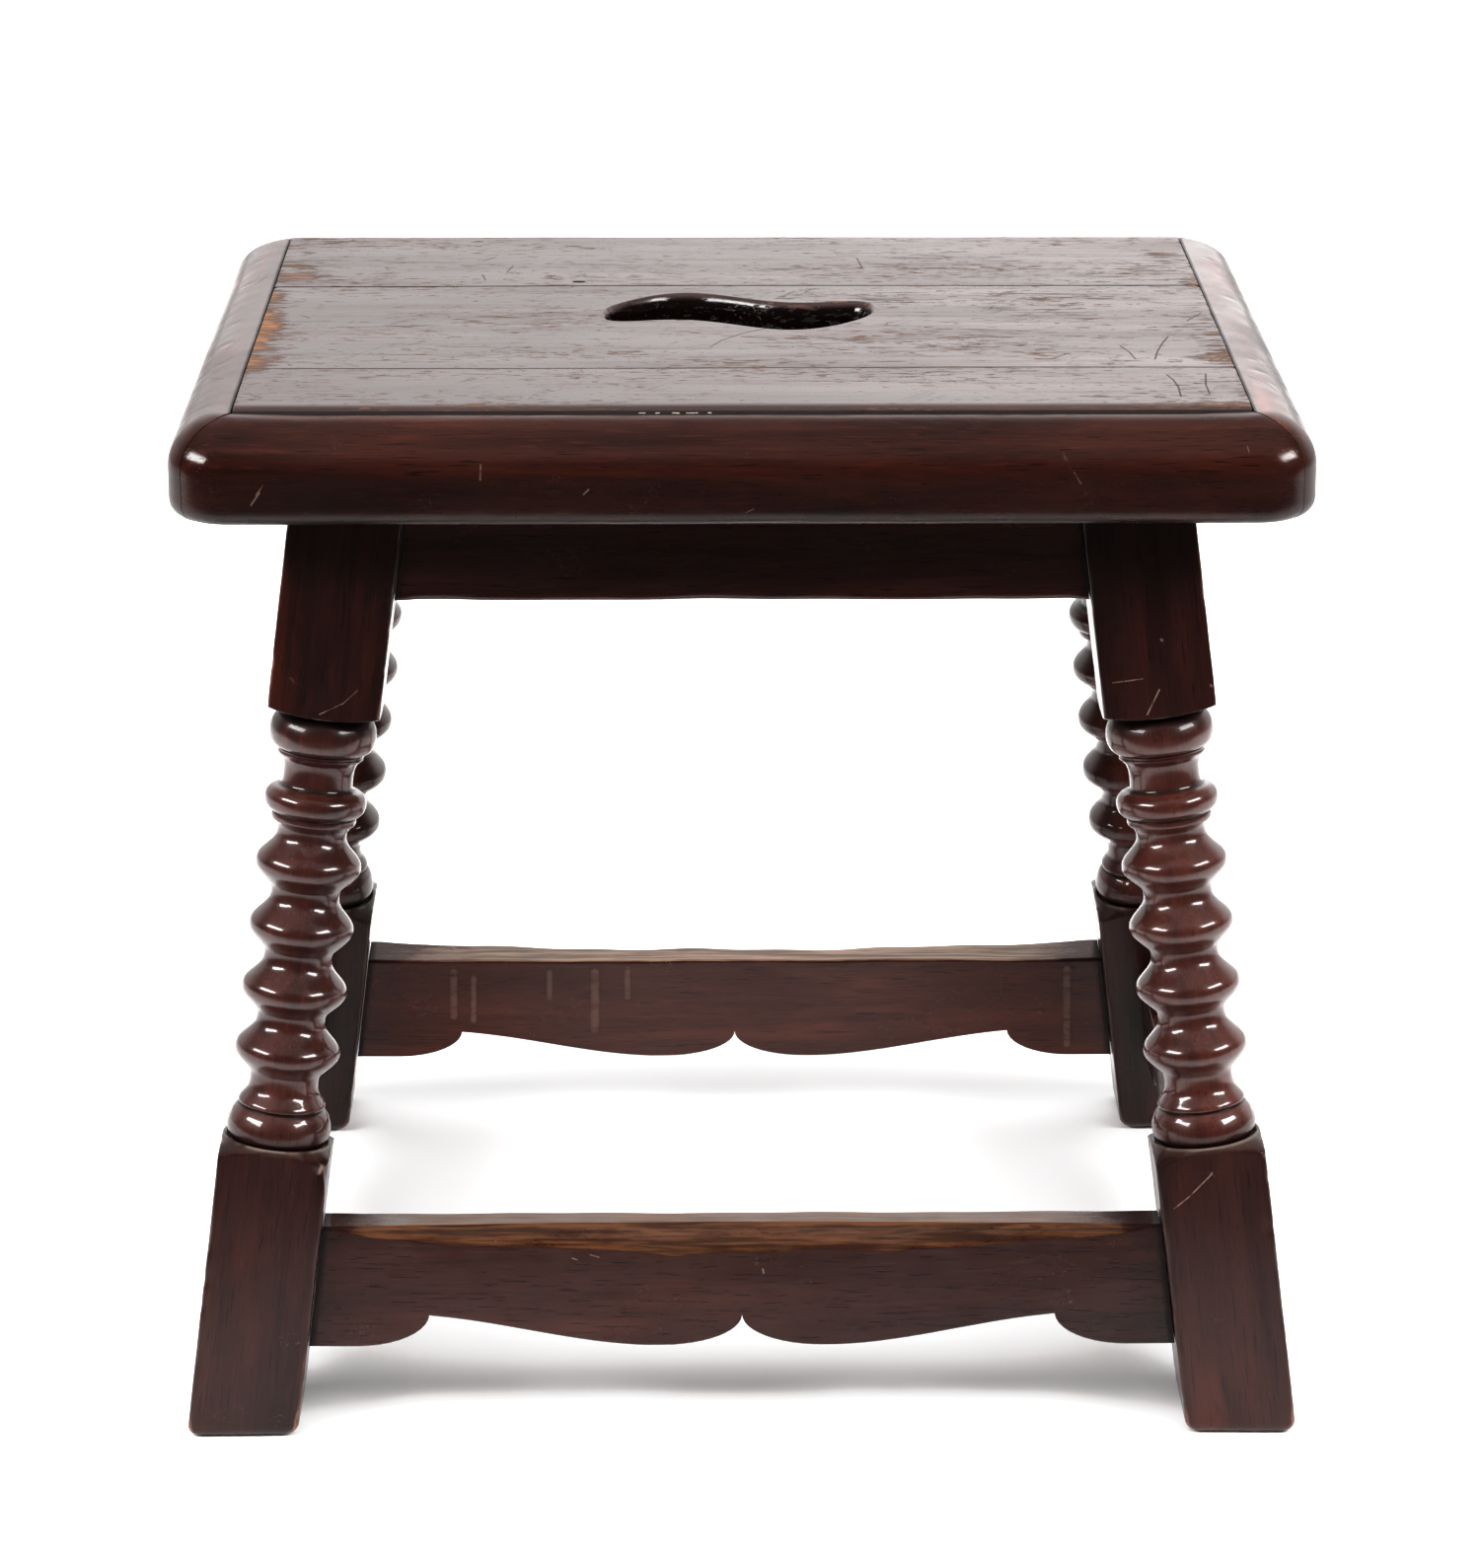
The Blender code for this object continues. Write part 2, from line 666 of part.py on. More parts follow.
def tenon_box(side, low, high, middle_y, towards, slack):
    """A tenon, or with slack its mortise, in the rail's frame."""
    face = inner_reach(side, (low + high) / 2)
    near = face - TENON_ROOT
    far = face + TENON_LENGTH + slack
    ends = sorted((near * towards, far * towards))
    half = TENON_THICKNESS / 2 + slack
    return box(
        (ends[0], middle_y - half, low - slack), (ends[1], middle_y + half, high + slack)
    )


def build_rail(name, side, outline, near, far, tenon_low, tenon_high):
    """A rail between two legs: its body, a tenon at each end, and the mortises."""
    frame = rail_frame(side)
    shape = extrude_outline(outline, near, far)
    to_rail = frame.inverted()
    for point, normal, towards in leg_faces(side):
        local_normal = to_rail.to_3x3() @ normal
        trim(shape, to_rail @ (point - normal * FIT), local_normal)

    def long_face_edge(edge):
        faces = edge.link_faces
        normals = [abs(face.normal.y) > 0.5 for face in faces]
        ends = [abs(face.normal.x) > 0.9 for face in faces]
        return len(faces) == 2 and normals[0] != normals[1] and not any(ends)

    bmesh.ops.recalc_face_normals(shape, faces=shape.faces)
    round_edges(shape, long_face_edge, RAIL_ARRIS)
    rail = place(name, finish_mesh(name, shape), RAIL_WOOD, frame)
    middle_y = (near + far) / 2
    for end, towards in (("a", 1), ("b", -1)):
        tenon_name = name + "_tenon_" + end
        tenon = tenon_box(side, tenon_low, tenon_high, middle_y, towards, 0)
        mesh = finish_mesh(tenon_name, tenon)
        combine(rail, place_guide(tenon_name, mesh, frame), "UNION")
        mortise_name = name + "_mortise_" + end
        mortise = tenon_box(side, tenon_low, tenon_high, middle_y, towards, FIT)
        mesh = finish_mesh(mortise_name, mortise)
        cutter = place_guide(mortise_name, mesh, frame)
        combine(leg_at(side, towards), cutter, "DIFFERENCE")
    return rail


def leg_at(side, towards):
    """The leg at one end of a rail."""
    along = rail_frame(side).to_3x3().col[0] * towards
    outward = SIDES[side][0]
    corner = outward + along
    for name, (side_x, side_y) in LEGS.items():
        if corner.x * side_x > 0 and corner.y * side_y > 0:
            return LEG_PIECES[name]
    raise ValueError(side)


def apron_heights(side):
    """Bottom and top of an apron, measured up the lean of the rail."""
    stretch = math.hypot(1, SIDES[side][1])
    top = (UNDERSIDE - FIT) * stretch
    return top - APRON_HEIGHT * stretch, top


def build_aprons():
    aprons = {}
    for side in SIDES:
        low, high = apron_heights(side)
        half = inner_reach(side, low) + OVERRUN
        outline = [(-half, low), (half, low), (half, high + OVERRUN), (-half, high + OVERRUN)]
        near, far = APRON_SETBACK, APRON_SETBACK + APRON_THICKNESS
        apron = build_rail(
            "apron_" + side,
            side,
            outline,
            near,
            far,
            low + TENON_SHOULDER,
            high - TENON_SHOULDER,
        )
        combine(apron, SEAT_CLEARANCE, "DIFFERENCE")
        aprons[side] = apron
    return aprons


def scallop_half(half, low):
    """The lower edge of a stretcher from its middle to one end: a cusp in the middle,
    a belly, a long slope up to a second cusp and a lobe beside the leg."""
    cusp_height = low + SCALLOP_RISE
    belly = half * BELLY_SHARE
    belly_end = belly + half * BELLY_FLAT_SHARE
    cusp = half * CUSP_SHARE
    lobe = cusp + (half - cusp) * (1 - LOBE_FLAT_SHARE)
    points = [(0, cusp_height)]
    for step in range(1, SCALLOP_STEPS + 1):
        angle = math.pi / 2 * step / SCALLOP_STEPS
        reach = belly * (1 - math.cos(angle))
        points.append((reach, cusp_height - SCALLOP_RISE * math.sin(angle)))
    for step in range(OGEE_STEPS):
        share = step / OGEE_STEPS
        wave = (1 - math.cos(math.pi * share)) / 2
        climb = wave + (share**OGEE_POWER - wave) * OGEE_STRAIGHTNESS
        points.append((belly_end + (cusp - belly_end) * share, low + SCALLOP_RISE * climb))
    points.append((cusp, cusp_height))
    for step in range(1, SCALLOP_STEPS + 1):
        angle = math.pi / 2 * step / SCALLOP_STEPS
        reach = cusp + (lobe - cusp) * (1 - math.cos(angle))
        points.append((reach, cusp_height - SCALLOP_RISE * math.sin(angle)))
    return points


def build_stretchers():
    for side in SIDES:
        stretch = math.hypot(1, SIDES[side][1])
        high = STRETCHER_TOP * stretch
        low = high - STRETCHER_HEIGHT * stretch
        half = inner_reach(side, low)
        right = scallop_half(half, low)
        right.append((half + OVERRUN, low))
        left = [(-x, z) for x, z in reversed(right[1:])]
        top = [(half + OVERRUN, high), (-half - OVERRUN, high)]
        near, far = STRETCHER_SETBACK, STRETCHER_SETBACK + STRETCHER_THICKNESS
        build_rail(
            "stretcher_" + side,
            side,
            left + right + top,
            near,
            far,
            low + SCALLOP_RISE,
            high - TENON_SHOULDER,
        )


# Screws


def screw_profile(slack):
    """Radius and height of a countersunk screw, head down; with slack, of its hole."""
    head = SCREW_HEAD_RADIUS + slack
    shank = SCREW_RADIUS + slack
    cone_top = SCREW_HEAD_RIM + SCREW_HEAD_HEIGHT
    shoulder = SCREW_LENGTH - SCREW_TIP_HEIGHT
    return [
        (0, -slack),
        (head, -slack),
        (head, SCREW_HEAD_RIM),
        (shank, cone_top),
        (shank, shoulder),
        (SCREW_TIP_RADIUS + slack, SCREW_LENGTH + slack),
        (0, SCREW_LENGTH + slack),
    ]


def counterbore_profile():
    return [
        (0, -COUNTERBORE_DEPTH - OVERRUN),
        (COUNTERBORE_RADIUS, -COUNTERBORE_DEPTH - OVERRUN),
        (COUNTERBORE_RADIUS, 0),
        (0, 0),
    ]


def build_screw(name, side, along, apron, board):
    """One screw up through an apron into the board above it, with its holes."""
    low = apron_heights(side)[0]
    middle_y = APRON_SETBACK + APRON_THICKNESS / 2
    seat = Vector((along, middle_y, low + COUNTERBORE_DEPTH))
    frame = rail_frame(side) @ Matrix.Translation(seat)
    screw = place(name, profile_mesh(name, screw_profile(0)), SCREW_STEEL, frame)
    spin(screw, SCREW_STEPS)
    slot_half = SCREW_HEAD_RADIUS + OVERRUN
    slot = box(
        (-slot_half, -SCREW_SLOT_WIDTH / 2, -OVERRUN),
        (slot_half, SCREW_SLOT_WIDTH / 2, SCREW_SLOT_DEPTH),
    )
    slot_name = name + "_slot"
    combine(screw, place_guide(slot_name, finish_mesh(slot_name, slot), frame), "DIFFERENCE")
    for part, profile in (("hole", screw_profile(FIT)), ("counterbore", counterbore_profile())):
        guide_name = name + "_" + part
        guide = place_guide(guide_name, profile_mesh(guide_name, profile), frame)
        spin(guide, SCREW_STEPS)
        combine(apron, guide, "DIFFERENCE")
        if part == "hole":
            combine(board, guide, "DIFFERENCE")


def build_screws(aprons, boards):
    for side in ("front", "back"):
        board = boards["seat_board_" + side]
        offset = inner_reach(side, apron_heights(side)[0]) * LONG_APRON_SCREW_SHARE
        eastward = rail_frame(side).to_3x3().col[0].x
        for end, along in (("right", offset), ("left", -offset)):
            name = "seat_screw_" + side + "_" + end
            build_screw(name, side, math.copysign(along, along * eastward), aprons[side], board)
    for side in ("left", "right"):
        board = boards["seat_board_middle"]
        build_screw("seat_screw_" + side, side, 0, aprons[side], board)


clear_scene()
STOOL = new_collection("jacobean_stool")
GUIDES = new_collection("guides")
BOARD_WOOD = material("seat_board_wood", (0.115, 0.062, 0.048), 0.34)
EDGING_WOOD = material("edging_wood", (0.055, 0.022, 0.016), 0.22)
LEG_WOOD = material("leg_wood", (0.050, 0.020, 0.015), 0.20)
RAIL_WOOD = material("rail_wood", (0.052, 0.023, 0.017), 0.30)
HIDDEN_WOOD = material("tongue_wood", (0.300, 0.180, 0.100), 0.70)
SCREW_STEEL = material("screw_steel", (0.300, 0.280, 0.260), 0.45, 1.0)

EDGING_GROOVES = {
    side: grown_box("groove_edging_" + side, tongue_span(side)) for side in SIDES
}
BOARD_GROOVES = {
    "back": grown_box("groove_back_joint", board_tongue_span(BACK_JOINT_Y)),
    "front": grown_box("groove_front_joint", board_tongue_span(FRONT_JOINT_Y)),
}
SEAT_CLEARANCE = place_guide(
    "seat_clearance",
    finish_mesh(
        "seat_clearance",
        box(
            (-SEAT_WIDTH, -SEAT_DEPTH, UNDERSIDE - FIT),
            (SEAT_WIDTH, SEAT_DEPTH, SEAT_HEIGHT + OVERRUN),
        ),
    ),
)

LEG_PIECES = build_legs()
build_edging()
seat_boards = build_boards()
build_tongues()
apron_pieces = build_aprons()
build_stretchers()
build_screws(apron_pieces, seat_boards)
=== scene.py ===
"""Looks of the jacobean style joint stool: detailed pieces in place of the CAD nodes,
procedural stained and polished wood, the photo's camera, and a white studio.

Shapes are worked out in millimetres and become metres when a mesh is made.
"""

import math

import bmesh
import bpy
import numpy as np
from mathutils import Matrix, Vector


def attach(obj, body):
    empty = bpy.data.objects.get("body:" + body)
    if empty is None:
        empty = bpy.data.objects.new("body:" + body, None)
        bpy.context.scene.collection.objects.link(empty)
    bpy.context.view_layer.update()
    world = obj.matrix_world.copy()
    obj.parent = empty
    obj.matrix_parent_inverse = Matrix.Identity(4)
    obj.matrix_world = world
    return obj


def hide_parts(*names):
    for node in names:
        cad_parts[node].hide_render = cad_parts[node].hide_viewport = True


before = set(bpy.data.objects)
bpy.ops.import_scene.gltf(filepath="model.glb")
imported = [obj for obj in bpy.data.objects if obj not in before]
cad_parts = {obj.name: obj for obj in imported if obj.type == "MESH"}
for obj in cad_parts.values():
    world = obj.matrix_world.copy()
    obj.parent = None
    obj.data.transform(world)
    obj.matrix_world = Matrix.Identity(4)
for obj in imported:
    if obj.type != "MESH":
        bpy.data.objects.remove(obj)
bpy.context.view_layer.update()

MM = 0.001

# The stool's sizes, in millimetres, as in the CAD source
SEAT_HEIGHT = 430.0
SEAT_WIDTH = 450.0
SEAT_DEPTH = 360.0
UNDERSIDE = 388.0
EDGING_TOP = 428.5
EDGING_WIDTH = 25.2
BOARDS_HALF_X = 199.8
BOARDS_HALF_Y = 154.8
FRONT_JOINT_Y = -90.72
BACK_JOINT_Y = 56.38
LEG_SIDE = 45.2
FIT = 0.3
SPLAY_X = math.radians(7.35)
SPLAY_Y = math.radians(6.6)
TAN_X = math.tan(SPLAY_X)
TAN_Y = math.tan(SPLAY_Y)
REACH_X = SEAT_WIDTH / 2 - 45.6 + UNDERSIDE * TAN_X
REACH_Y = SEAT_DEPTH / 2 - 39.5 + UNDERSIDE * TAN_Y
FOOT_X = REACH_X - LEG_SIDE / 2 / math.cos(SPLAY_X)
FOOT_Y = REACH_Y - LEG_SIDE / 2 / math.cos(SPLAY_Y)
APRON_HEIGHT = 40.0
APRON_FACE, APRON_BACK = 5.0, 25.0
STRETCHER_TOP = 88.0
STRETCHER_HEIGHT = 51.1
STRETCHER_FACE, STRETCHER_BACK = 8.0, 29.0
SCREW_HOLE_RADIUS = 4.8
SCREW_HOLE_DEPTH = 14.0
SCREW_SHARES = {"front": (-0.58, 0.58), "back": (-0.58, 0.58), "left": (0,), "right": (0,)}
UP = Vector((0, 0, 1))
SIDES = {
    "front": (Vector((0, -1, 0)), TAN_Y, REACH_Y),
    "back": (Vector((0, 1, 0)), TAN_Y, REACH_Y),
    "left": (Vector((-1, 0, 0)), TAN_X, REACH_X),
    "right": (Vector((1, 0, 0)), TAN_X, REACH_X),
}
LEGS = {
    "front_left": (-1, -1),
    "front_right": (1, -1),
    "back_left": (-1, 1),
    "back_right": (1, 1),
}


# Meshes


def grid_mesh(name, points, matrix, close_rows=False):
    """A closed mesh, in metres, through rings of millimetre points.

    The last ring joins the first where the rows close, and else both have flat caps."""
    rows, cols, _ = points.shape
    index = np.arange(rows * cols).reshape(rows, cols)
    caps = [] if close_rows else [index[0].tolist(), index[-1].tolist()]
    if close_rows:
        index = np.vstack([index, index[:1]])
    index = np.hstack([index, index[:, :1]])
    corners = (index[:-1, :-1], index[:-1, 1:], index[1:, 1:], index[1:, :-1])
    quads = np.stack([c.ravel() for c in corners], axis=1).tolist()
    mesh = bpy.data.meshes.new(name)
    world = points.reshape(-1, 3) * MM @ np.array(matrix.to_3x3()).T
    world += np.array(matrix.translation)
    mesh.from_pydata(world.tolist(), [], quads + caps)
    shape = bmesh.new()
    shape.from_mesh(mesh)
    bmesh.ops.recalc_face_normals(shape, faces=shape.faces)
    shape.to_mesh(mesh)
    shape.free()
    return mesh


def store(mesh, grain, **values):
    """Stores for each vertex what the materials read: the grain's place and numbers."""
    layer = mesh.attributes.new("grain", "FLOAT_VECTOR", "POINT")
    layer.data.foreach_set("vector", np.ascontiguousarray(grain, np.float32).ravel())
    for name, numbers in values.items():
        layer = mesh.attributes.new(name, "FLOAT", "POINT")
        numbers = np.broadcast_to(numbers, grain.shape[:-1])
        layer.data.foreach_set("value", np.ascontiguousarray(numbers, np.float32).ravel())


def add_piece(mesh, finish, slot, *nodes):
    """Places a mesh as a piece that stands for CAD nodes."""
    mesh.shade_smooth()
    mesh.set_sharp_from_angle(angle=math.radians(38))
    mesh.materials.append(finish)
    piece = bpy.data.objects.new("fine_" + nodes[0], mesh)
    bpy.context.scene.collection.objects.link(piece)
    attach(piece, "root")
    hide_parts(*nodes)


def ripple(points, wavelength, seed):
    """Smooth noise of about -1 to 1 at each point, the same in every run."""
    draw = np.random.default_rng(seed)
    waves = 6
    total = np.zeros(points.shape[:-1])
    for _ in range(waves):
        direction = draw.normal(size=3)
        direction /= np.linalg.norm(direction)
        turns = 2 * math.pi / wavelength * draw.uniform(0.6, 1.5)
        total += np.sin(points @ (direction * turns) + draw.uniform(0, 2 * math.pi))
    return total / math.sqrt(waves)


def smooth_step(low, high, value):
    share = np.clip((value - low) / (high - low), 0, 1)
    return share * share * (3 - 2 * share)


def dent(points, spot, size, depth):
    """How far a knock at a spot presses each point in."""
    return depth * np.exp(-np.sum(((points - spot) / size) ** 2, axis=-1))


def through(points, steps):
    """A smooth curve through points, as a list without its last point."""
    pts = np.array([points[0], *points, points[-1]], float)
    curve = []
    for k in range(1, len(pts) - 2):
        p0, p1, p2, p3 = pts[k - 1 : k + 3]
        for t in np.arange(steps) / steps:
            square = (2 * p0 - 5 * p1 + 4 * p2 - p3) * t * t
            cube = (3 * p1 - p0 - 3 * p2 + p3) * t**3
            curve.append(tuple(0.5 * (2 * p1 + (p2 - p0) * t + square + cube)))
    return curve


# Legs


def leg_frame(side_x, side_y):
    """The frame of a leg: its origin is the foot's middle and its Z is the leg's axis."""
    axis = Vector((-side_x * TAN_X, -side_y * TAN_Y, 1)).normalized()
    across = Vector((1, 0, side_x * TAN_X)).normalized()
    inward = axis.cross(across)
    turn = Matrix((across, inward, axis)).transposed().to_4x4()
    foot = Vector((side_x * FOOT_X, side_y * FOOT_Y, 0)) * MM
    return Matrix.Translation(foot) @ turn


LEG_COLUMNS = 24
BLOCK_RADIUS = 60.0
DUSTY_ROW = 14

# The turned length, as height and radius: runs of points, each with how many steps
# a smooth curve takes from point to point, or 0 for straight lines
TURNED_BELOW = (
    (4, (113.0, 36.5), (115.2, 34.0), (117.4, 30.6), (119.6, 26.2)),
    (2, (120.9, 23.4), (121.6, 22.4), (121.95, 21.8), (121.75, 21.3)),
    (0, (121.2, 20.7), (120.5, 20.0), (120.9, 19.6), (121.6, 19.9)),
    (4, (122.1, 20.3), (124.0, 21.0), (126.5, 21.35), (129.6, 20.9)),
    (3, (132.4, 19.7), (134.3, 18.4), (135.0, 17.7)),
    (0, (135.35, 17.15), (135.8, 17.3), (136.1, 17.65)),
    (3, (136.6, 17.8), (137.8, 17.4), (139.8, 16.0), (142.0, 14.6), (144.4, 14.0),
     (147.0, 13.9)),
)
# A bobbin, as height from its widest place and radius, then each bobbin's place and swell
BOBBIN = (
    (-12.2, 13.95), (-10.9, 14.1), (-9.6, 14.6), (-8.2, 15.8), (-6.4, 17.6), (-4.4, 19.5),
    (-2.7, 20.75), (-1.1, 21.35), (0.6, 21.4), (2.2, 21.0), (3.7, 20.1), (5.3, 18.7),
    (7.2, 16.9), (9.0, 15.4), (10.7, 14.45), (12.4, 14.0),
)
BOBBINS = ((159.7, 0.0), (185.8, 0.1), (211.9, -0.1), (238.0, 0.05))
TURNED_ABOVE = (
    (3, (252.4, 14.1), (254.2, 15.1), (255.6, 16.7), (256.1, 17.1)),
    (0, (256.6, 17.25), (257.6, 17.3), (258.3, 17.2), (258.55, 16.9), (258.8, 16.95),
     (259.1, 17.3), (259.4, 17.8)),
    (3, (259.8, 18.5), (261.6, 20.1), (264.2, 20.8), (266.6, 20.5), (268.5, 19.2),
     (269.5, 17.5), (270.0, 15.8)),
    (3, (270.5, 14.9), (271.6, 14.45), (275.4, 14.3), (279.2, 14.5)),
    (3, (281.2, 15.3), (282.6, 16.6), (283.2, 17.2)),
    (0, (283.4, 17.55), (284.1, 17.6), (284.35, 17.3), (284.6, 17.55), (285.3, 17.6),
     (285.55, 17.35), (285.8, 17.9)),
    (3, (286.2, 18.9), (287.6, 20.4), (289.8, 21.5), (292.6, 21.95), (295.6, 21.6),
     (298.2, 20.6), (300.0, 19.2), (300.9, 18.0)),
    (0, (301.3, 17.2), (301.6, 17.6), (301.75, 19.2), (301.85, 20.8), (301.95, 21.9),
     (302.3, 22.5)),
    (3, (302.8, 24.4), (303.5, 27.2), (304.6, 30.4), (306.2, 33.4), (308.4, 36.5)),
)


def leg_profile():
    """Height along the leg and radius of every row between the two blocks' flats."""
    bobbins = []
    for widest, swell in BOBBINS:
        run = [(widest + h, r + (swell if -5 < h < 4 else 0.0)) for h, r in BOBBIN]
        bobbins.append((2, *run))
    rows = []
    for steps, *run in (*TURNED_BELOW, *bobbins, *TURNED_ABOVE):
        rows += through(run, steps) if steps else run
    return rows


def profile_marks(rows):
    """How far each row is a worn crest and a groove darkened with grime and painted shade, from
    its curvature.
    """
    pts = np.array(rows)
    ahead = np.roll(pts, -1, axis=0) - pts
    back = pts - np.roll(pts, 1, axis=0)
    lengths = (np.linalg.norm(ahead, axis=1) + np.linalg.norm(back, axis=1)) / 2
    bend = back[:, 0] * ahead[:, 1] - back[:, 1] * ahead[:, 0]
    bend /= np.linalg.norm(ahead, axis=1) * np.linalg.norm(back, axis=1)
    bend = -np.arcsin(np.clip(bend, -1, 1)) / np.maximum(lengths, 0.2)
    bend[0] = bend[-1] = 0
    bend = np.convolve(bend, (0.25, 0.5, 0.25), "same")
    return np.clip(bend * 1.1, 0, 1), np.clip(-bend * 1.6, 0, 1)


def square_radius(angle, half, rounding):
    """Distance from the axis to a rounded square's outline in each direction."""
    a, b = np.abs(np.cos(angle)), np.abs(np.sin(angle))
    flat = half / np.maximum(a, b)
    inset = half - rounding
    reach = (a + b) * inset
    arc = reach + np.sqrt(np.maximum(reach**2 - 2 * inset**2 + rounding**2, 0))
    return np.where(flat * np.minimum(a, b) > inset, arc, flat)


def column_angles():
    """Directions round a leg, closer together at the square's corners."""
    share = np.arange(LEG_COLUMNS) / LEG_COLUMNS
    eased = share + 0.84 * np.sin(2 * math.pi * share) / (2 * math.pi)
    return (math.pi / 2 * (np.arange(4)[:, None] + eased)).ravel()


def leg_mesh(name, corner, seed):
    """A leg: rows of points up its axis, square in the blocks and round in the turning."""
    matrix = leg_frame(*LEGS[corner])
    turn = matrix.to_3x3()
    draw = np.random.default_rng(seed)
    turned = leg_profile()
    top = (UNDERSIDE - FIT) / turn[2][2]
    # Height and inset of the square rows, which draw in at the foot and at the top
    below = [(0.0, 4.6), (0.25, 3.5), (0.8, 2.4), (1.7, 1.35), (2.9, 0.6), (4.2, 0.15),
             (5.4, 0.0)] + [(h, 0.0) for h in np.linspace(7.0, 111.5, 40)]
    above = [(h, 0.0) for h in np.linspace(311.5, top - 1.2, 30)]
    above += [(top - 0.5, 0.1), (top, 0.5)]
    rows = [(h, BLOCK_RADIUS, i) for h, i in below] + [(h, r, 0.0) for h, r in turned]
    rows += [(h, BLOCK_RADIUS, i) for h, i in above]
    heights, radii, insets = (np.array(v)[:, None] for v in zip(*rows))
    padding = (len(below), len(above))
    crest, groove = (np.pad(v, padding)[:, None] for v in profile_marks(turned))
    angles = column_angles()[None, :]

    # Lathe work is never quite alike: each leg's members swell and shift a little
    wobble = np.sin(heights / 19 + seed) + np.sin(heights / 31 + 2.1 * seed)
    in_turning = smooth_step(122, 132, heights) * (1 - smooth_step(290, 300, heights))
    radii = radii + 0.14 * wobble * in_turning
    heights = heights + 0.35 * np.sin(heights / 23 + 3 * seed) * in_turning

    phase = np.floor(angles / (math.pi / 2)) * 1.7 + seed
    rounding = 1.45 + 0.45 * np.sin(heights / 9 + phase) + 0.3 * np.sin(heights / 3.7 + phase)
    near_foot = 1 - smooth_step(0, 16, heights)
    square = square_radius(angles, LEG_SIDE / 2 - insets, rounding + 2.4 * near_foot)
    on_square = smooth_step(0, 0.6, radii - square)
    planed = 0.06 * np.sin(heights / 26 + phase * 3) + 0.04 * np.sin(heights / 11 + phase)
    radius = np.minimum(square, radii) + planed * on_square
    x, y = radius * np.cos(angles), radius * np.sin(angles)

    # The ends are cut level with the floor and the seat
    slant = -(x * turn[2][0] + y * turn[2][1]) / turn[2][2]
    level = 1 - smooth_step(0, 60, heights) + smooth_step(top - 50, top, heights)
    points = np.stack([x, y, heights + slant * level], axis=2)

    # Knocks on the square arrises, and a chip on one of the lower blocks
    half_diagonal = 31
    arris = np.abs(np.mod(angles, math.pi / 2) - math.pi / 4)
    edge = np.exp(-((arris * half_diagonal / 1.9) ** 2)) * on_square
    knocks = []
    for _ in range(26):
        height = draw.choice([draw.uniform(6, 118), draw.uniform(304, top)])
        way = math.pi / 4 + math.pi / 2 * draw.integers(4)
        spot = (half_diagonal * math.cos(way), half_diagonal * math.sin(way), height)
        knocks.append((spot, draw.uniform(0.8, 2.6), draw.uniform(0.15, 0.6)))
    if corner == "front_left":
        knocks.append(((21.8, -21.8, 116.0), (3.2, 3.2, 6.5), 2.2))
    for knock in knocks:
        pull = dent(points, *knock)
        points[:, :, 0] -= pull * np.cos(angles)
        points[:, :, 1] -= pull * np.sin(angles)

    mesh = grid_mesh(name, points, matrix)
    wear = np.maximum(edge * (0.55 + 0.35 * near_foot), crest * 0.35 * (1 - on_square))
    row_numbers = np.arange(len(radii))[:, None]
    store(
        mesh,
        points[:, :, (2, 0, 1)] * MM + np.array([0.37, 0.11, 0.05]) * seed,
        wear=np.maximum(wear, np.exp(-np.maximum(heights, 0) / 4.0) * 0.55),
        # The grooves are darkened with grime and painted shade
        dirt=groove,
        turned=in_turning,
        dust=np.exp(-(((row_numbers - len(below) - DUSTY_ROW) / 1.6) ** 2)),
        raw=heights < 0.2,
    )
    return mesh


# Rails


def rail_frame(side):
    """The frame of a rail: Y = 0 is the legs' outer face, Y grows inwards, Z leans."""
    outward, lean, reach = SIDES[side]
    rise = (UP - outward * lean).normalized()
    inward = -(outward + UP * lean).normalized()
    along = inward.cross(rise)
    turn = Matrix((along, inward, rise)).transposed().to_4x4()
    return Matrix.Translation(outward * reach * MM) @ turn


def end_plane(side):
    """How far along the rail the leg's face is: a + b * y + c * z in the rail's frame."""
    to_rail = rail_frame(side).inverted()
    along = rail_frame(side).to_3x3().col[0]
    # The leg at the rail's positive end
    ahead = SIDES[side][0] + along
    side_x, side_y = (round(math.copysign(1, v)) for v in ahead.xy)
    leg = leg_frame(side_x, side_y)
    normal = leg.to_3x3().col[0 if abs(along.x) > abs(along.y) else 1].normalized()
    normal *= math.copysign(1, normal.dot(along))
    local = to_rail @ (leg.translation - normal * (LEG_SIDE / 2 * MM))
    face = to_rail.to_3x3() @ normal
    return local.dot(face) / face.x / MM - FIT, -face.y / face.x, -face.z / face.x


CORNER_STEPS = 7
SIDE_SHARES = (0.012, 0.045, 0.13, 0.25, 0.38, 0.5, 0.62, 0.75, 0.87, 0.955, 0.988)
SIDE_EDGES = (0.75, 0.35, 0.08, 0.0, 0.0, 0.0, 0.0, 0.0, 0.08, 0.35, 0.75)


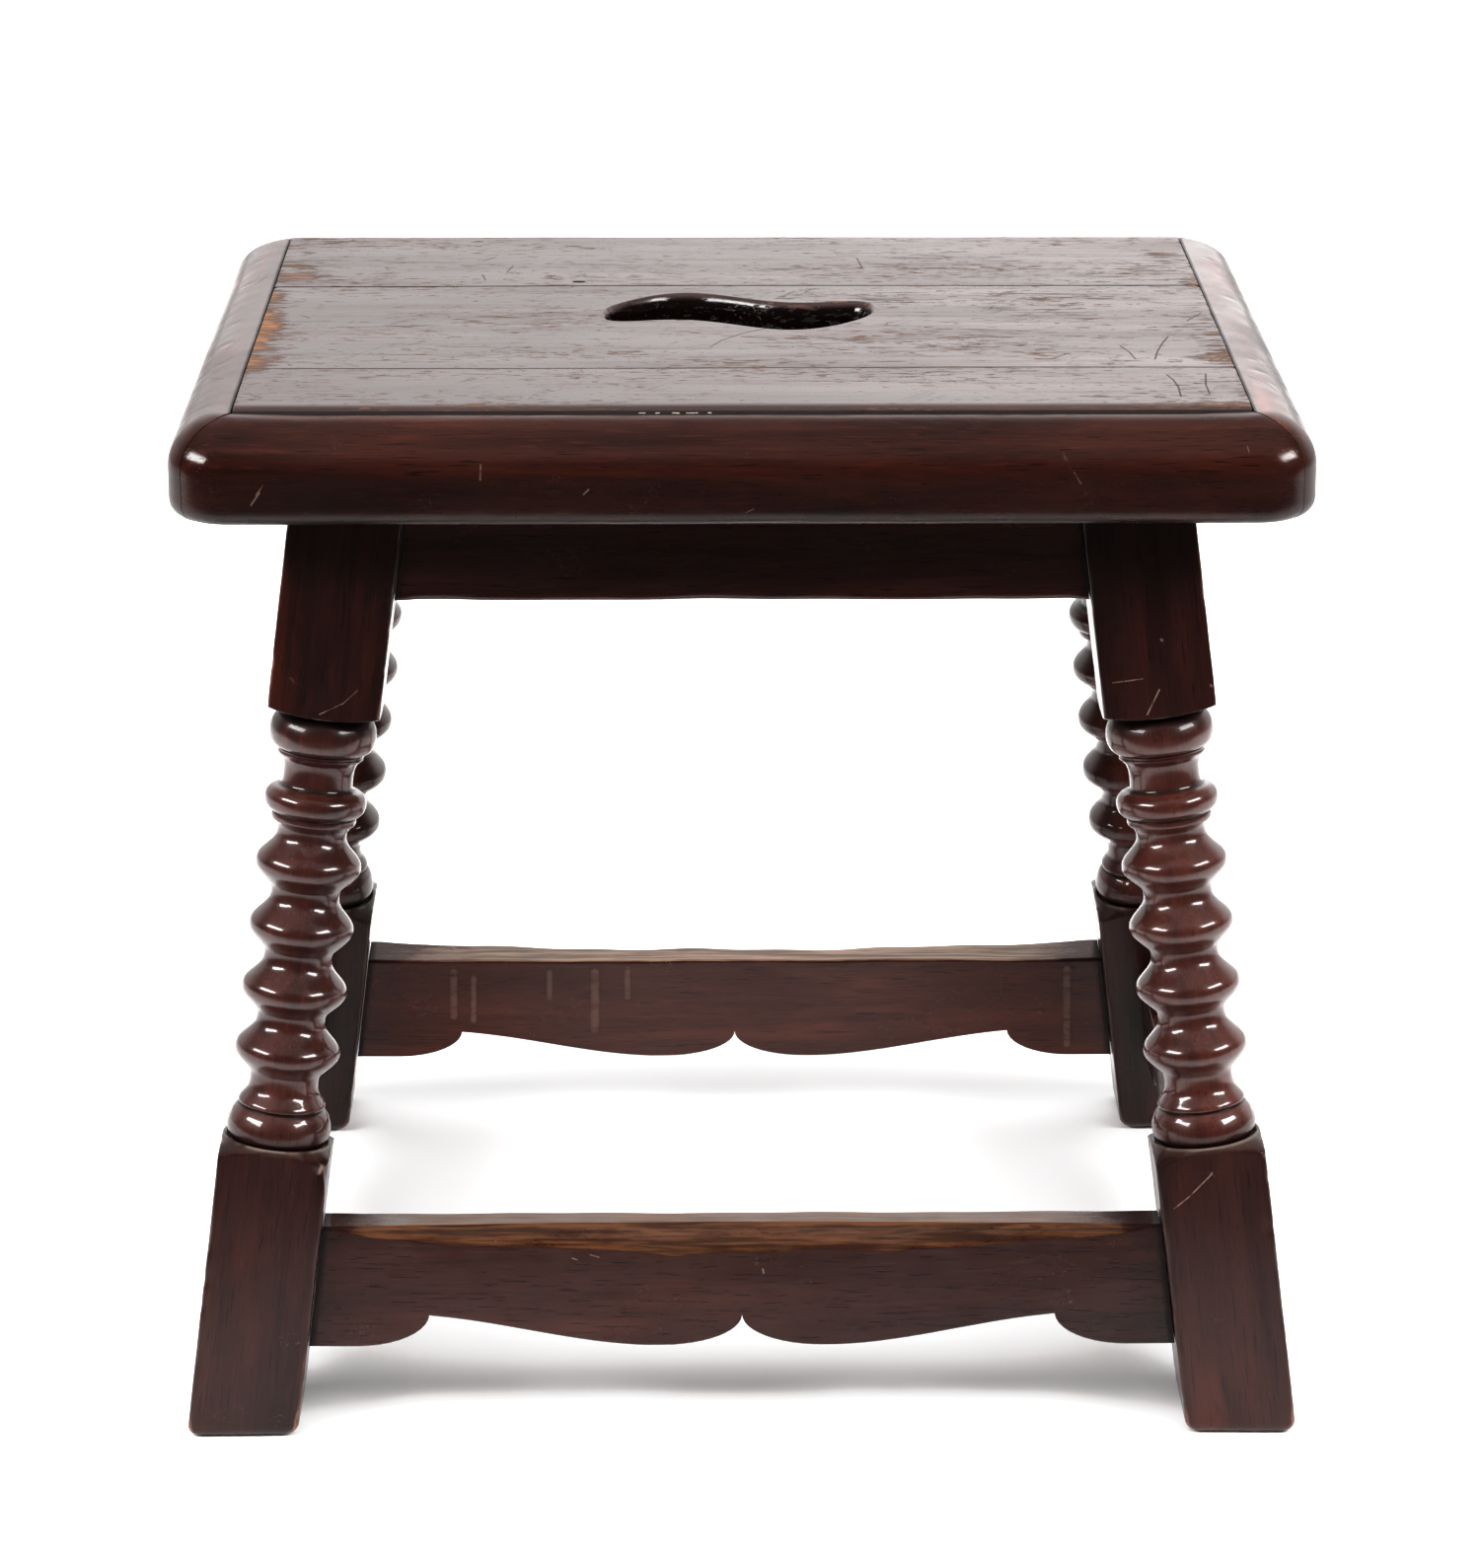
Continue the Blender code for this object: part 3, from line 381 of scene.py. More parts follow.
def rounded_section(near, far, low, high, radii):
    """Points round a rail's section at each of its columns, and where its edges are.

    The corners go bottom front, top front, top back and bottom back. Each has a radius,
    or a width, a height and the power that flattens its curve."""
    near, far, low, high = np.broadcast_arrays(near, far, low, high)
    corners = (
        (near, low, 1, 1, -90), (near, high, 1, -1, 180),
        (far, high, -1, -1, 90), (far, low, -1, 1, 0),
    )
    arcs = []
    for (y, z, to_y, to_z, start), radius in zip(corners, radii):
        wide, tall, power = radius if isinstance(radius, tuple) else (radius, radius, 1)
        angle = np.radians(np.linspace(start, start - 90, CORNER_STEPS))[None, :]
        cosine, sine = (np.sign(v) * np.abs(v) ** power for v in (np.cos(angle), np.sin(angle)))
        arc_y = y[:, None] + np.reshape(wide, (-1, 1)) * (to_y + cosine)
        arc_z = z[:, None] + np.reshape(tall, (-1, 1)) * (to_z + sine)
        arcs.append(np.array([arc_y, arc_z]))
    parts, which = [], []
    half = len(SIDE_SHARES) // 2
    for number in range(4):
        arc, after = arcs[number], arcs[(number + 1) % 4]
        start, stop = arc[..., -1:], after[..., :1]
        parts += [arc, start + (stop - start) * np.array(SIDE_SHARES)]
        which += [number] * (CORNER_STEPS + half + 1) + [(number + 1) % 4] * half
    y, z = np.concatenate(parts, axis=2)
    return y, z, np.tile([1.0] * CORNER_STEPS + list(SIDE_EDGES), 4), np.array(which)


# A stretcher's lower edge, with widths as shares of half its length
SCALLOP_RISE = 13.1
BELLY_SHARE = 0.185
BELLY_FLAT_SHARE = 0.03
CUSP_SHARE = 0.728
LOBE_SHARE = 0.58
OGEE_STRAIGHTNESS = 0.5
OGEE_POWER = 1.3


def scallop_columns(half):
    """Half of a stretcher's lower edge: distance from the middle and rise above its low."""
    belly, cusp = half * BELLY_SHARE, half * CUSP_SHARE
    belly_end = belly + half * BELLY_FLAT_SHARE
    lobe = cusp + (half - cusp) * LOBE_SHARE
    columns = [(0.0, SCALLOP_RISE)]

    def quarter_round(start, width, steps):
        for angle in np.linspace(0, math.pi / 2, steps + 1)[1:]:
            rise = SCALLOP_RISE * (1 - math.sin(angle))
            columns.append((start + width * (1 - math.cos(angle)), rise))

    quarter_round(0.0, belly, 12)
    for share in np.linspace(0, 1, 4)[1:]:
        columns.append((belly + (belly_end - belly) * share, 0.0))
    for share in np.linspace(0, 1, 40)[1:]:
        wave = (1 - math.cos(math.pi * share)) / 2
        climb = wave + (share**OGEE_POWER - wave) * OGEE_STRAIGHTNESS
        columns.append((belly_end + (cusp - belly_end) * share, SCALLOP_RISE * climb))
    quarter_round(cusp, lobe - cusp, 10)
    for share in np.linspace(0, 1, 9)[1:]:
        columns.append((lobe + (half - lobe) * share, 0.0))
    return columns


# How deep each stretcher's top edge is worn, and how far the wear reaches back
WORN_BEVELS = {"front": (1.0, 5.6), "back": (1.0, 8.5), "left": (0.35, 5.6), "right": (0.4, 5.6)}


def stretcher_mesh(name, side, seed):
    """A stretcher, with a scalloped lower edge and a worn bevel along its top."""
    stretch = math.hypot(1, SIDES[side][1])
    high, low = STRETCHER_TOP * stretch, (STRETCHER_TOP - STRETCHER_HEIGHT) * stretch
    reach, per_y, per_z = end_plane(side)
    half = reach + per_y * LEG_SIDE / 2 + per_z * low
    right = scallop_columns(half)
    columns = [(-x, z) for x, z in reversed(right[1:])] + right
    along = np.array([x / half for x, _ in columns])
    bottom = low + np.array([z for _, z in columns])
    from_middle = np.abs(along)
    ends = 1 - smooth_step(0.88, 0.99, from_middle)
    waviness = np.sin(along * half / 17 + seed) + 0.6 * np.sin(along * half / 7.3 + 2 * seed)
    top = high - np.maximum(ends * (0.55 + 0.3 * waviness), 0) * 0.5
    strength, wide = WORN_BEVELS[side]
    bevel = np.maximum(1 - (along / 0.97) ** 2, 0) ** 0.8 * strength
    bevel = bevel * (1 + 0.07 * waviness)
    power = (1 + 0.55 * np.minimum(bevel, 1))[:, None]
    front_top = (1.2 + wide * bevel, 1.2 + 9.4 * bevel, power)
    radii = (1.0, front_top, 1.5, 0.9)
    y, z, edge, which = rounded_section(STRETCHER_FACE, STRETCHER_BACK, bottom, top, radii)
    x = along[:, None] * (reach + per_y * y + per_z * z)
    points = np.stack([x, y, z], axis=2)
    swell = ripple(points, 60, seed) * 0.10 + ripple(points, 14, seed + 5) * 0.035
    points[:, :, 1] += swell * np.sign(y - (STRETCHER_FACE + STRETCHER_BACK) / 2) * ends[:, None]
    mesh = grid_mesh(name, points, rail_frame(side))
    by_corner = np.array([0.35, 1.0, 0.45, 0.25])[which][None, :]
    wear = edge[None, :] * by_corner * (0.35 + 0.65 * ends[:, None])
    rubbed = np.zeros_like(edge)
    first = CORNER_STEPS + len(SIDE_SHARES)
    rubbed[first : first + CORNER_STEPS] = np.linspace(0.42, 1.0, CORNER_STEPS)
    worn_here = np.clip(bevel * 1.6, 0, 1)[:, None]
    wear = np.maximum(wear * 0.8, rubbed[None, :] * (0.35 + 0.7 * worn_here))
    on_top = smooth_step(-1.2, -0.2, z - top[:, None])
    store(
        mesh,
        points * MM + np.array([0.21, 0.07, 0.13]) * seed,
        wear=np.maximum(wear, on_top * (0.45 + 0.5 * worn_here)),
        dirt=smooth_step(0.97, 1.0, from_middle)[:, None] * 0.8,
        raw=0.0,
    )
    return mesh


def cut_screw_holes(mesh, side, low, half):
    """Bores the holes in an apron's lower edge in which the seat screws sit."""
    drills = bpy.data.meshes.new("drills")
    shape = bmesh.new()
    middle = (APRON_FACE + APRON_BACK) / 2
    for share in SCREW_SHARES[side]:
        place = Matrix.Translation(Vector((share * half, middle, low)) * MM)
        bmesh.ops.create_cone(
            shape,
            cap_ends=True,
            segments=48,
            radius1=SCREW_HOLE_RADIUS * MM,
            radius2=SCREW_HOLE_RADIUS * MM,
            depth=2 * SCREW_HOLE_DEPTH * MM,
            matrix=rail_frame(side) @ place,
        )
    shape.to_mesh(drills)
    shape.free()
    block = bpy.data.objects.new("block", mesh)
    drill = bpy.data.objects.new("drill", drills)
    for thing in (block, drill):
        bpy.context.scene.collection.objects.link(thing)
    cut = block.modifiers.new("bore", "BOOLEAN")
    cut.object, cut.operation, cut.solver = drill, "DIFFERENCE", "EXACT"
    bored = bpy.data.meshes.new_from_object(
        block.evaluated_get(bpy.context.evaluated_depsgraph_get())
    )
    for thing in (block, drill):
        bpy.data.objects.remove(thing)
    bpy.data.meshes.remove(drills)
    return bored


def apron_mesh(name, side, seed):
    """An apron, level at its top under the seat, with its screw holes."""
    lean = SIDES[side][1]
    stretch = math.hypot(1, lean)
    high = (UNDERSIDE - FIT) * stretch
    low = high - APRON_HEIGHT * stretch
    reach, per_y, per_z = end_plane(side)
    half = reach + per_y * LEG_SIDE / 2 + per_z * low
    along = np.linspace(-1, 1, 2 * round(half / 2.4) + 1)
    waviness = np.sin(along * half / 21 + seed) + 0.6 * np.sin(along * half / 8.3 + 2 * seed)
    ends = 1 - smooth_step(0.93, 0.995, np.abs(along))
    front_bottom = 1.3 + ends * (0.7 + 0.4 * waviness)
    radii = (front_bottom, 0.5, 0.5, 1.0 + 0.2 * waviness)
    bottom = low + np.maximum(waviness, 0) * 0.2 * ends
    y, z, _, _ = rounded_section(APRON_FACE, APRON_BACK, bottom, high, radii)
    # The top is level under the seat although the apron leans
    z = low + (z - low) * (high + lean * y - low) / (high - low)
    x = along[:, None] * (reach + per_y * y + per_z * z)
    points = np.stack([x, y, z], axis=2)
    swell = ripple(points, 70, seed) * 0.09 + ripple(points, 16, seed + 5) * 0.03
    outside = y < (APRON_FACE + APRON_BACK) / 2
    points[:, :, 1] += swell * np.where(outside, -1, 1) * ends[:, None]
    solid = grid_mesh(name, points, rail_frame(side))
    mesh = cut_screw_holes(solid, side, low, half)
    places = np.array([rail_frame(side).inverted() @ v.co for v in mesh.vertices]) / MM
    x, y, z = places[:, 0], places[:, 1], places[:, 2]
    share = np.abs(x) / (reach + per_y * y + per_z * z)
    front_edge = np.exp(-np.hypot(y - APRON_FACE, z - low) / 1.7)
    back_edge = np.exp(-np.hypot(y - APRON_BACK, z - low) / 1.2) * 0.5
    wear = np.maximum(front_edge, back_edge) * (1 - 0.6 * smooth_step(0.93, 0.995, share))
    # The apron darkens inside its bores and along its top under the seat as painted shade, and at
    # its ends as dark joints
    in_bore = (y > 9) & (y < 21) & (z > low + 0.6) & (z < low + 16)
    seams_and_shade = np.maximum(smooth_step(0.975, 1.0, share) * 0.8, smooth_step(high - 5, high, z))
    store(
        mesh,
        places * MM + np.array([0.31, 0.17, 0.09]) * seed,
        wear=wear * 1.1,
        dirt=np.maximum(seams_and_shade, in_bore),
        raw=np.where(in_bore, 0.6, smooth_step(APRON_BACK - 2.0, APRON_BACK - 0.5, y)),
    )
    return mesh


# Seat


def edging_section():
    """Inset from the outer face, height, and edge wear round the edging's section."""
    inner = EDGING_WIDTH - FIT
    rise = EDGING_TOP - UNDERSIDE - 1.1
    section = [(inner, UNDERSIDE + 0.6 + rise * share, 0.0) for share in (0.0, 0.3, 0.7, 1.0)]
    section.append((inner - 0.3, EDGING_TOP - 0.05, 0.35))
    for angle in np.linspace(math.pi / 2, 0, 21):
        inset = 23.2 * (1 - math.cos(angle) ** 0.97)
        height = EDGING_TOP - 0.1 - 19.9 * (1 - math.sin(angle) ** 0.97)
        section.append((inset, height, 0.45 * math.sin(2 * angle) ** 2))
    section += [(0.0, height, 0.1) for height in (407.0, 404.0, 401.0, 398.0, 396.4)]
    for angle in np.linspace(0, math.pi / 2, 9)[1:]:
        inset = 8.0 * (1 - math.cos(angle))
        height = UNDERSIDE + 8.0 * (1 - math.sin(angle))
        section.append((inset, height, 0.3 * math.sin(2 * angle) ** 2))
    section += [(inset, UNDERSIDE, 0.0) for inset in (8.5, 11.0, 15.0, 20.0, 23.5, 24.3)]
    return np.array(section).T


def edging_mesh(name, side, seed):
    """A seat edging: a straight run that turns into half a rounded corner at each end."""
    outward = SIDES[side][0]
    along = outward.cross(UP)
    half_length, half_across = SEAT_WIDTH / 2, SEAT_DEPTH / 2
    if abs(along.x) < abs(along.y):
        half_length, half_across = half_across, half_length
    inset, height, edge = edging_section()
    radius = 21.0 - 0.45 * inset - 8.6 * smooth_step(13, 25, inset)
    straight = np.linspace(0, 1, round(half_length / 1.6))[:, None]
    arc = np.radians(np.linspace(0, 45, 13))[1:, None]
    run, face = half_length - inset - radius, half_across - inset - radius
    pos_a = np.vstack([run * straight, run + radius * np.sin(arc)])
    pos_b = np.vstack([half_across - inset + 0 * straight, face + radius * np.cos(arc)])
    # The mitre plane, half a fit away from the neighbour
    gap = FIT / 2 * math.sqrt(2)
    pos_a = pos_a - gap * smooth_step(half_length - 40, half_length - 6, pos_a)
    a = np.vstack([-pos_a[:0:-1], pos_a])
    b = np.vstack([pos_b[:0:-1], pos_b])
    z = np.repeat(height[None, :], len(a), axis=0)
    points = np.stack([a, b, z], axis=2)

    # Gentle unevenness and knocks, mostly on the rounded top edge
    core = np.stack([a, np.full_like(b, half_across - 14.0), np.full_like(z, 410.0)], axis=2)
    away = points - core
    away[:, :, 0] = 0
    away /= np.linalg.norm(away, axis=2, keepdims=True)
    if side == "front":
        # The front edging has sunk a little below the boards, most of all in its middle
        crown = smooth_step(404, 421, height)
        tilt = 0.085 * np.clip(EDGING_WIDTH - 1 - inset, 0, 15)
        sag = smooth_step(5, 60, half_length - np.abs(a))
        points[:, :, 2] -= crown * (0.9 + tilt) * sag
    exposed = ((inset < 24.5) & (height > UNDERSIDE + 0.5))[None, :, None]
    soft = ripple(points, 75, seed) * 0.10 + ripple(points, 19, seed + 3) * 0.035
    points += away * soft[:, :, None] * exposed
    draw = np.random.default_rng(seed)
    for _ in range(int(half_length / 7)):
        angle = math.radians(draw.uniform(10, 80))
        spot = np.array([
            draw.uniform(-half_length + 12, half_length - 12),
            half_across - 20.0 * (1 - math.cos(angle)),
            EDGING_TOP - 20.0 * (1 - math.sin(angle)),
        ])
        if draw.random() < 0.35:
            spot[1:] = half_across, draw.uniform(392, 405)
        size, depth = draw.uniform(1.2, 3.4), draw.uniform(0.08, 0.32)
        points -= away * dent(points, spot, size, depth)[:, :, None] * exposed

    turn = Matrix((along, outward, UP)).transposed().to_4x4()
    mesh = grid_mesh(name, points, turn)
    from_end = half_length - np.abs(a)
    seam = 1.6 * np.exp(-np.abs(inset - EDGING_WIDTH) / 1.1) * (height > 420)
    mitre = np.exp(-np.abs(from_end - (half_across - b)) / 0.9)
    # The outer face darkens towards its bottom: painted shade
    below = 0.46 * smooth_step(419, 405, height) * (inset < 6)
    store(
        mesh,
        points * MM + np.array([0.19, 0.23, 0.05]) * seed,
        wear=edge * (0.7 + 0.3 * smooth_step(half_length - 34, half_length - 4, np.abs(a))),
        dirt=np.clip(np.maximum(seam + mitre * 0.3, below), 0, 1),
        raw=height < UNDERSIDE + 0.5,
    )
    return mesh


# Places on the seat where feet and hands took the polish off: x and y, how far the wear
# reaches in x and in y, and how strong it is
WORN_SPOTS = (
    (-201, -24, 12, 62, 1.4), (-201, -80, 14, 20, 1.25), (-201, 34, 10, 22, 1.2),
    (-194, -70, 15, 26, 0.75), (-193, 92, 17, 44, 0.85), (-186, 146, 22, 12, 0.62),
    (201, -72, 18, 20, 1.25), (196, -46, 13, 22, 0.8), (188, 112, 12, 20, 0.8),
    (200, 62, 9, 14, 0.9), (186, -150, 34, 7, 0.9), (-105, -148, 7, 3, 1.3),
    (-140, 8, 26, 7, 0.5), (70, -48, 70, 30, 0.46), (140, 40, 60, 50, 0.46),
    (90, 80, 90, 24, 0.44), (10, -84, 80, 10, 0.42), (-40, 128, 120, 20, 0.40),
)


def board_marks(mesh, points, near, far, seed):
    """Stores grain, wear, dirt and painted shade, the hand hole's painted shade and bare wood for
    a seat board.
    """
    x, y, z = points[..., 0], points[..., 1], points[..., 2]
    top = z > SEAT_HEIGHT - 3.6
    from_end = BOARDS_HALF_X - np.abs(x)
    from_side = BOARDS_HALF_Y - np.abs(y)
    wear = np.maximum(np.exp(-from_end / 2.0) * 0.75, np.exp(-from_side / 2.4) * 0.6)
    for spot_x, spot_y, wide, deep, strength in WORN_SPOTS:
        gap = ((x - spot_x) / wide) ** 2 + ((y - spot_y) / deep) ** 2
        wear = np.maximum(wear, strength * np.exp(-gap))
    joint = 0.75 * np.exp(-np.minimum(y - near, far - y) / 0.35)
    in_hole = np.hypot(x / 68, (y - 9) / 42) < 1
    # Painted shadow in the gap along the front board's lip
    lip_gap_shade = smooth_step(429.2, 428.0, z) * (y < -BOARDS_HALF_Y + 5)
    seams_and_shade = np.maximum(np.maximum(joint, np.exp(-from_end / 0.5)), lip_gap_shade)
    store(
        mesh,
        points * MM + np.array([0.23, 0.31, 0.07]) * seed,
        wear=np.where(top, wear, 0),
        # Below the top, the boards' sides and ends between the parts are darkened as painted
        # shade
        dirt=np.where(top, seams_and_shade, np.where(in_hole, 0.0, 0.9)),
        # The hand hole's wall turns near black below its rim: painted shade
        black=np.where(in_hole, smooth_step(0.5, 3.0, SEAT_HEIGHT - z), 0),
        raw=z < UNDERSIDE + 0.7,
    )


def warp_board(points, seed):
    """Lifts and drops the top of a board a little, as old boards move."""
    z = points[..., 2]
    top = smooth_step(UNDERSIDE + 20, SEAT_HEIGHT - 2, z)
    flat = points.copy()
    flat[..., 2] = 0
    lift = ripple(flat * (0.35, 1.0, 1.0), 75, 21) * 0.13
    lift += ripple(flat * (0.3, 1.0, 1.0), 17, seed) * 0.02
    points[..., 2] = z + top * np.minimum(lift, 0.45)


def board_mesh(name, near, far, seed):
    """A seat board as rounded sections along its length."""
    near, far = near + FIT / 2, far - FIT / 2
    end = BOARDS_HALF_X
    xs = np.concatenate([
        [-end, -end + 0.18, -end + 0.6, -end + 1.4],
        np.linspace(-end + 3, end - 3, 160),
        [end - 1.4, end - 0.6, end - 0.18, end],
    ])
    drop = np.array([0.9, 0.4, 0.1, 0.0] + [0.0] * 160 + [0.0, 0.1, 0.4, 0.9])
    front_lip = (7.0, 3.6, 1) if near < -BOARDS_HALF_Y + 1 else 0.25
    back_lip = 2.6 if far > BOARDS_HALF_Y - 1 else 0.25
    radii = (0.6, front_lip, back_lip, 0.6)
    y, z, _, _ = rounded_section(near, far, UNDERSIDE, SEAT_HEIGHT - drop, radii)
    x = np.repeat(xs[:, None], y.shape[1], axis=1)
    points = np.stack([x, y, z], axis=2)
    warp_board(points, seed)
    mesh = grid_mesh(name, points, Matrix.Identity(4))
    board_marks(mesh, points, near, far, seed)
    return mesh


def hole_outline(angle, grow):
    """The hand hole's outline: a blunt oval that sways to and fro in an S."""
    power = 2 / 2.8
    cosine, sine = np.cos(angle), np.sin(angle)
    x = (54.5 + grow) * np.sign(cosine) * np.abs(cosine) ** power
    y = (22.25 + grow) * np.sign(sine) * np.abs(sine) ** power
    y = y - 9.0 * np.sin(2 * math.pi * x / 96.0)
    middle = (FRONT_JOINT_Y + BACK_JOINT_Y) / 2 + 26.0
    return x, y + middle


def middle_board_mesh(name, seed):
    """The middle board as a ring round the hand hole, from its wall to its edges."""
    near, far = FRONT_JOINT_Y + FIT / 2, BACK_JOINT_Y - FIT / 2
    count = 280
    shares = np.linspace(0, 1, count, endpoint=False)
    rings = []

    def rectangle(inset):
        """Points on the board's outline, spread evenly by length, anticlockwise."""
        a, b = BOARDS_HALF_X - inset, (far - near) / 2 - inset
        corners = (0, b, b + 2 * a, 3 * b + 2 * a, 3 * b + 4 * a, 4 * b + 4 * a)
        distance = shares * corners[-1]
        x = np.interp(distance, corners, (a, a, -a, -a, a, a))
        y = np.interp(distance, corners, (0, b, b, -b, -b, 0))
        return x, y + (near + far) / 2

    # The hole's points are spread evenly by length too
    fine = np.linspace(0, 2 * math.pi, 4001)
    hole_x, hole_y = hole_outline(fine, 0)
    steps = np.hypot(np.diff(hole_x), np.diff(hole_y))
    length = np.concatenate([[0], np.cumsum(steps)])
    spread = np.interp(shares * length[-1], length, fine)

    def add(outline, height):
        rings.append(np.stack([*outline, np.full(count, height)], axis=1))

    def add_flat(start, stop, shares_across, height):
        """Rings across the top or the underside, from one outline to another."""
        (start_x, start_y), (stop_x, stop_y) = start, stop
        for share in shares_across:
            x, y = start_x + (stop_x - start_x) * share, start_y + (stop_y - start_y) * share
            add((x, y), height)

    def carved(first, second):
        """The marks that the carver's knife left on the hole's wall."""
        return 0.22 * np.sin(spread * 9 + first) + 0.16 * np.sin(spread * 17 - second)

    for angle in np.linspace(0, math.pi / 2, 7):
        outline = hole_outline(spread, 2.6 * (1 - math.sin(angle)))
        add(outline, UNDERSIDE + 2.6 * (1 - math.cos(angle)))
    for height in (391.5, 395.0, 399.0, 403.0, 407.0, 411.0, 415.0, 419.0, 420.6):
        add(hole_outline(spread, carved(height / 9, height / 5)), height)
    for angle in np.linspace(0, math.pi / 2, 15)[1:]:
        grow = 3.2 * (1 - math.cos(angle)) + carved(46.7, 84) * math.cos(angle)
        add(hole_outline(spread, grow), SEAT_HEIGHT - 9.0 * (1 - math.sin(angle)))
    across = np.concatenate([[0.0, 0.01], np.linspace(0.03, 0.97, 34), [0.99, 1.0]])
    add_flat(hole_outline(spread, 3.4), rectangle(0.9), across, SEAT_HEIGHT)
    for inset, drop in ((0.6, 0.08), (0.3, 0.25), (0.1, 0.5), (0.0, 0.9)):
        add(rectangle(inset), SEAT_HEIGHT - drop)
    for height in (424.0, 415.0, 405.0, 395.0, 389.0):
        add(rectangle(0.0), height)
    for inset, rise in ((0.1, 0.4), (0.35, 0.1), (0.7, 0.0)):
        add(rectangle(inset), UNDERSIDE + rise)
    add_flat(rectangle(0.9), hole_outline(spread, 2.9), np.linspace(0, 1, 12), UNDERSIDE)
    points = np.stack(rings, axis=0)
    warp_board(points, seed)
    mesh = grid_mesh(name, points, Matrix.Identity(4), close_rows=True)
    board_marks(mesh, points, near, far, seed)
    return mesh


# Materials


class Graph:
    """The node tree of a new material or of the world, built up from short calls."""

    def __init__(self, owner, shader="Principled BSDF"):
        owner.use_nodes = True
        self.owner = owner
        self.tree = owner.node_tree
        self.shader = self.tree.nodes[shader]

    def put(self, socket, value):
        """Gives a socket a link, a colour or another value."""
        if isinstance(value, bpy.types.NodeSocket):
            self.tree.links.new(value, socket)
        elif value is not None:
            colour = socket.type == "RGBA" and len(value) == 3
            socket.default_value = (*value, 1.0) if colour else value

    def give(self, name, value):
        """Gives an input of the shader a value or a link."""
        self.put(self.shader.inputs[name], value)

    def node(self, kind, output, inputs, **settings):
        """Adds a node, fills its inputs by number or name, and returns one output."""
        node = self.tree.nodes.new("ShaderNode" + kind)
        for key, value in settings.items():
            setattr(node, key, value)
        for key, value in inputs.items():
            self.put(node.inputs[key], value)
        return node.outputs[output]

    def read(self, name, output="Fac"):
        return self.node("Attribute", output, {}, attribute_name=name)

    def place(self, output="Object"):
        return self.node("TexCoord", output, {})

    def vector(self, operation, a, b=None, result=0):
        """The first output of vector maths is a vector and the second a number."""
        second = 3 if operation == "SCALE" else 1
        return self.node("VectorMath", result, {0: a, second: b}, operation=operation)

    def math(self, operation, a, b=None, clamp=False):
        return self.node("Math", 0, {0: a, 1: b}, operation=operation, use_clamp=clamp)

    def times(self, a, b):
        return self.math("MULTIPLY", a, b)

    def most(self, a, b):
        return self.math("MAXIMUM", a, b)

    def plus(self, total, *masks, clamp=False):
        """Adds masks, each times its amount."""
        for number, (mask, amount) in enumerate(masks, 1):
            last = clamp and number == len(masks)
            total = self.math("ADD", total, self.times(mask, amount), clamp=last)
        return total

    def scaled(self, vector, factors):
        return self.node("Mapping", 0, {"Vector": vector, "Scale": factors})

    def noise(self, vector, scale, detail, roughness=0.5, distortion=0.0):
        return self.node("TexNoise", "Fac", {
            "Vector": vector, "Scale": scale, "Detail": detail, "Roughness": roughness,
            "Distortion": distortion,
        })

    def fibres(self, grain, along, across, detail, roughness=0.5, distortion=0.0):
        """Noise with its own scales along and across the grain."""
        stretched = self.scaled(grain, (along, across, across))
        return self.noise(stretched, 1.0, detail, roughness, distortion)

    def range(self, value, low, high, to_low=0.0, to_high=1.0):
        """Eases from one value to another while the input goes from low to high."""
        inputs = {0: value, 1: low, 2: high, 3: to_low, 4: to_high}
        return self.node("MapRange", 0, inputs, interpolation_type="SMOOTHSTEP")

    def blend(self, share, a, b, kind="MIX"):
        inputs = {0: share, 6: a, 7: b}
        return self.node("Mix", 2, inputs, data_type="RGBA", blend_type=kind)

    def tint(self, colour, mask, amount, tone):
        return self.blend(self.times(mask, amount), colour, tone)

    def bump(self, height, distance, strength=1.0):
        """Gives the shader a bumpy normal; the distance is in metres."""
        inputs = {"Height": height, "Distance": distance, "Strength": strength}
        self.give("Normal", self.node("Bump", 0, inputs))


def strokes(g, marks, height=None):
    """A mask of thin scratches: each mark is a width and points, all in millimetres.

    The points have two numbers where a height is given for all of them."""
    place = g.place()
    total = None
    for width, *path in marks:
        path = [Vector(point if height is None else (*point, height)) * MM for point in path]
        for start, stop in zip(path, path[1:]):
            run = stop - start
            offset = g.vector("SUBTRACT", place, start)
            share = g.vector("DOT_PRODUCT", offset, run / run.length_squared, result=1)
            share = g.math("MINIMUM", g.most(share, 0.0), 1.0)
            gap = g.vector("DISTANCE", offset, g.vector("SCALE", run, share), result=1)
            mask = g.range(gap, width * MM, 0.25 * width * MM)
            total = mask if total is None else g.most(total, mask)
    return total


def sparse_scratches(g, grain, turn, scale, seed):
    """Fine scratches in one direction, here and there."""
    shift = (seed, seed * 0.7, seed * 0.3)
    spun = g.node("Mapping", 0, {"Vector": grain, "Rotation": turn, "Location": shift})
    lines = g.fibres(spun, scale * 0.06, scale, 1)
    thin = g.range(g.math("ABSOLUTE", g.math("SUBTRACT", lines, 0.5)), 0.010, 0.003)
    return g.times(thin, g.range(g.fibres(spun, 30, 60, 1), 0.66, 0.72))


BARE_WOOD_TONES = ((0.045, 0.025, 0.016), (0.11, 0.062, 0.036))


